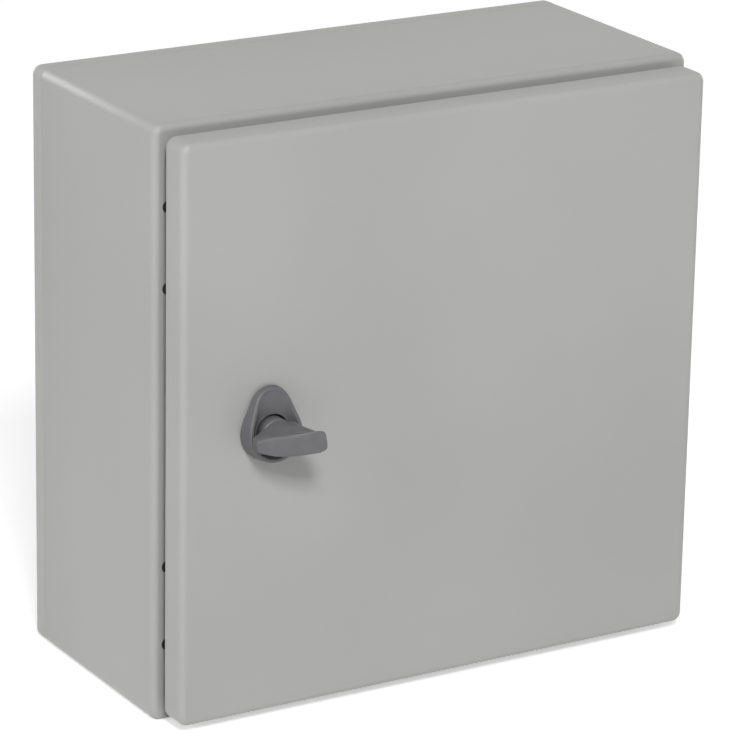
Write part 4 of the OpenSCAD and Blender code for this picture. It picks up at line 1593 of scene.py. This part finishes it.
@dataclass
class Studio:
    """White room: camera, soft lights and a floor that keeps only the shadow.

    Attributes:
        azimuth: where the camera stands round the object, in degrees; 0 is straight in front.
        elevation: how far it stands above the level, in degrees.
        roll: its turn about its own view, in degrees.
        distance: from the point it looks at, in metres.
        look_at: that point, in metres.
        lens: focal length for a 36 mm sensor.
        sky: strength of the even light from all round.
        lamps: name, place, size and power of each soft lamp, in metres and watts.
        floor_glow: what the floor adds of its own for the eye and for reflections.
    """

    azimuth: float = -31.033
    elevation: float = 18.639
    roll: float = 1.059
    distance: float = 2.1418
    look_at: tuple[float, float, float] = (-0.00283, -0.080, -0.00573)
    lens: float = 209.47
    sky: float = 0.28
    lamps: tuple[tuple[str, tuple[float, float, float], float, float], ...] = (
        ("key", (-1.35, -3.20, 2.75), 0.9, 112.0),
        ("side", (-3.60, -0.60, 1.50), 1.7, 34.0),
        ("back", (-0.60, 4.20, 0.30), 1.8, 34.0),
        ("right", (4.00, 0.60, 0.30), 1.8, 30.0),
    )
    floor_glow: float = 0.48

    def camera(self) -> None:
        """Places the camera: its back vector comes from azimuth and elevation, then it rolls."""
        a, e, r = (math.radians(v) for v in (self.azimuth, self.elevation, self.roll))
        back = Vector((math.sin(a) * math.cos(e), -math.cos(a) * math.cos(e), math.sin(e)))
        side = Vector((0, 0, 1)).cross(back).normalized()
        up = back.cross(side)
        right = side * math.cos(r) + up * math.sin(r)
        top = up * math.cos(r) - side * math.sin(r)
        data = bpy.data.cameras.new("camera")
        data.lens = self.lens
        data.sensor_width = 36.0
        data.clip_end = 100.0
        holder = bpy.data.objects.new("camera", data)
        turn = Matrix((right, top, back)).transposed().to_4x4()
        place = Vector(self.look_at) + back * self.distance
        holder.matrix_world = Matrix.Translation(place) @ turn
        bpy.context.scene.collection.objects.link(holder)
        bpy.context.scene.camera = holder

    def lamp(self, name: str, place: Sequence[float], size: float, power: float) -> None:
        """Hangs a square soft lamp that faces the middle of the object."""
        data = bpy.data.lights.new(name, "AREA")
        data.shape = "SQUARE"
        data.size = size
        data.energy = power
        holder = bpy.data.objects.new(name, data)
        holder.location = place
        aim = Vector((0, -0.07, 0)) - Vector(place)
        holder.rotation_euler = aim.to_track_quat("-Z", "Y").to_euler()
        bpy.context.scene.collection.objects.link(holder)

    def seen(self, graph: Graph) -> Value:
        """1 for rays that show the room itself: direct, in a reflection or through glass."""
        total = graph.node("ShaderNodeLightPath", {}, {}, "Is Camera Ray")
        outputs = total.socket.node.outputs
        for name in ("Is Glossy Ray", "Is Transmission Ray"):
            total = total + Value(graph, outputs[name])
        return total.limited(0.0, 1.0)

    def sky_light(self) -> None:
        """White world: full white where it is seen, and an even light elsewhere."""
        world = bpy.data.worlds.new("room")
        world.use_nodes = True
        bpy.context.scene.world = world
        graph = Graph(world.node_tree)
        strength = self.seen(graph) * (1 - self.sky) + self.sky
        inputs = {"Color": (1, 1, 1, 1), "Strength": strength}
        graph.finish(graph.node("ShaderNodeBackground", {}, inputs), "ShaderNodeOutputWorld")

    def floor(self) -> None:
        """White floor under the object, wide enough for every view."""
        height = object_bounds()[0][2] / MM - 0.02
        ring = turned(np.array([[9000.0, height - 5], [9000.0, height]]), 64)
        made = make_mesh("floor", [skin(ring)])
        paint = bpy.data.materials.new("floor")
        paint.use_nodes = True
        graph = Graph(paint.node_tree)
        matt = graph.node("ShaderNodeBsdfDiffuse", {}, {"Color": (0.9, 0.9, 0.9, 1)})
        strength = self.seen(graph) * self.floor_glow
        glow = graph.node("ShaderNodeEmission", {}, {"Strength": strength})
        graph.finish(graph.node("ShaderNodeAddShader", {}, {0: matt, 1: glow}))
        made.data.materials.append(paint)
        made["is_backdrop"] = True

    def build(self) -> None:
        """Sets up the room and the plain view of colours."""
        bpy.context.scene.view_settings.view_transform = "Standard"
        self.camera()
        self.sky_light()
        self.floor()
        for name, place, size, power in self.lamps:
            self.lamp(name, place, size, power)


def write_sizes(before: tuple, after: tuple) -> None:
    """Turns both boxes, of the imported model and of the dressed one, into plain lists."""
    named = {"cad": before, "visual": after}
    boxes = {name: [list(corner) for corner in box] for name, box in named.items()}


def main() -> None:
    """Builds the enclosure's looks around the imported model."""
    logging.basicConfig(level=logging.INFO, format="%(name)s %(message)s")
    cabinet = Cabinet()
    half_w, half_h = cabinet.half_sizes()
    shop = Workshop(finishes(half_w * MM, half_h * MM))
    hardware = Fasteners(shop)
    cabinet.build(shop)
    Door().build(shop)
    Inside().build(shop, hardware)
    Hinges().build(shop, hardware)
    Lock().build(shop, hardware)
    Studio().build()
    write_sizes(cad_box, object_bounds())


if __name__ == "__main__":
    main()
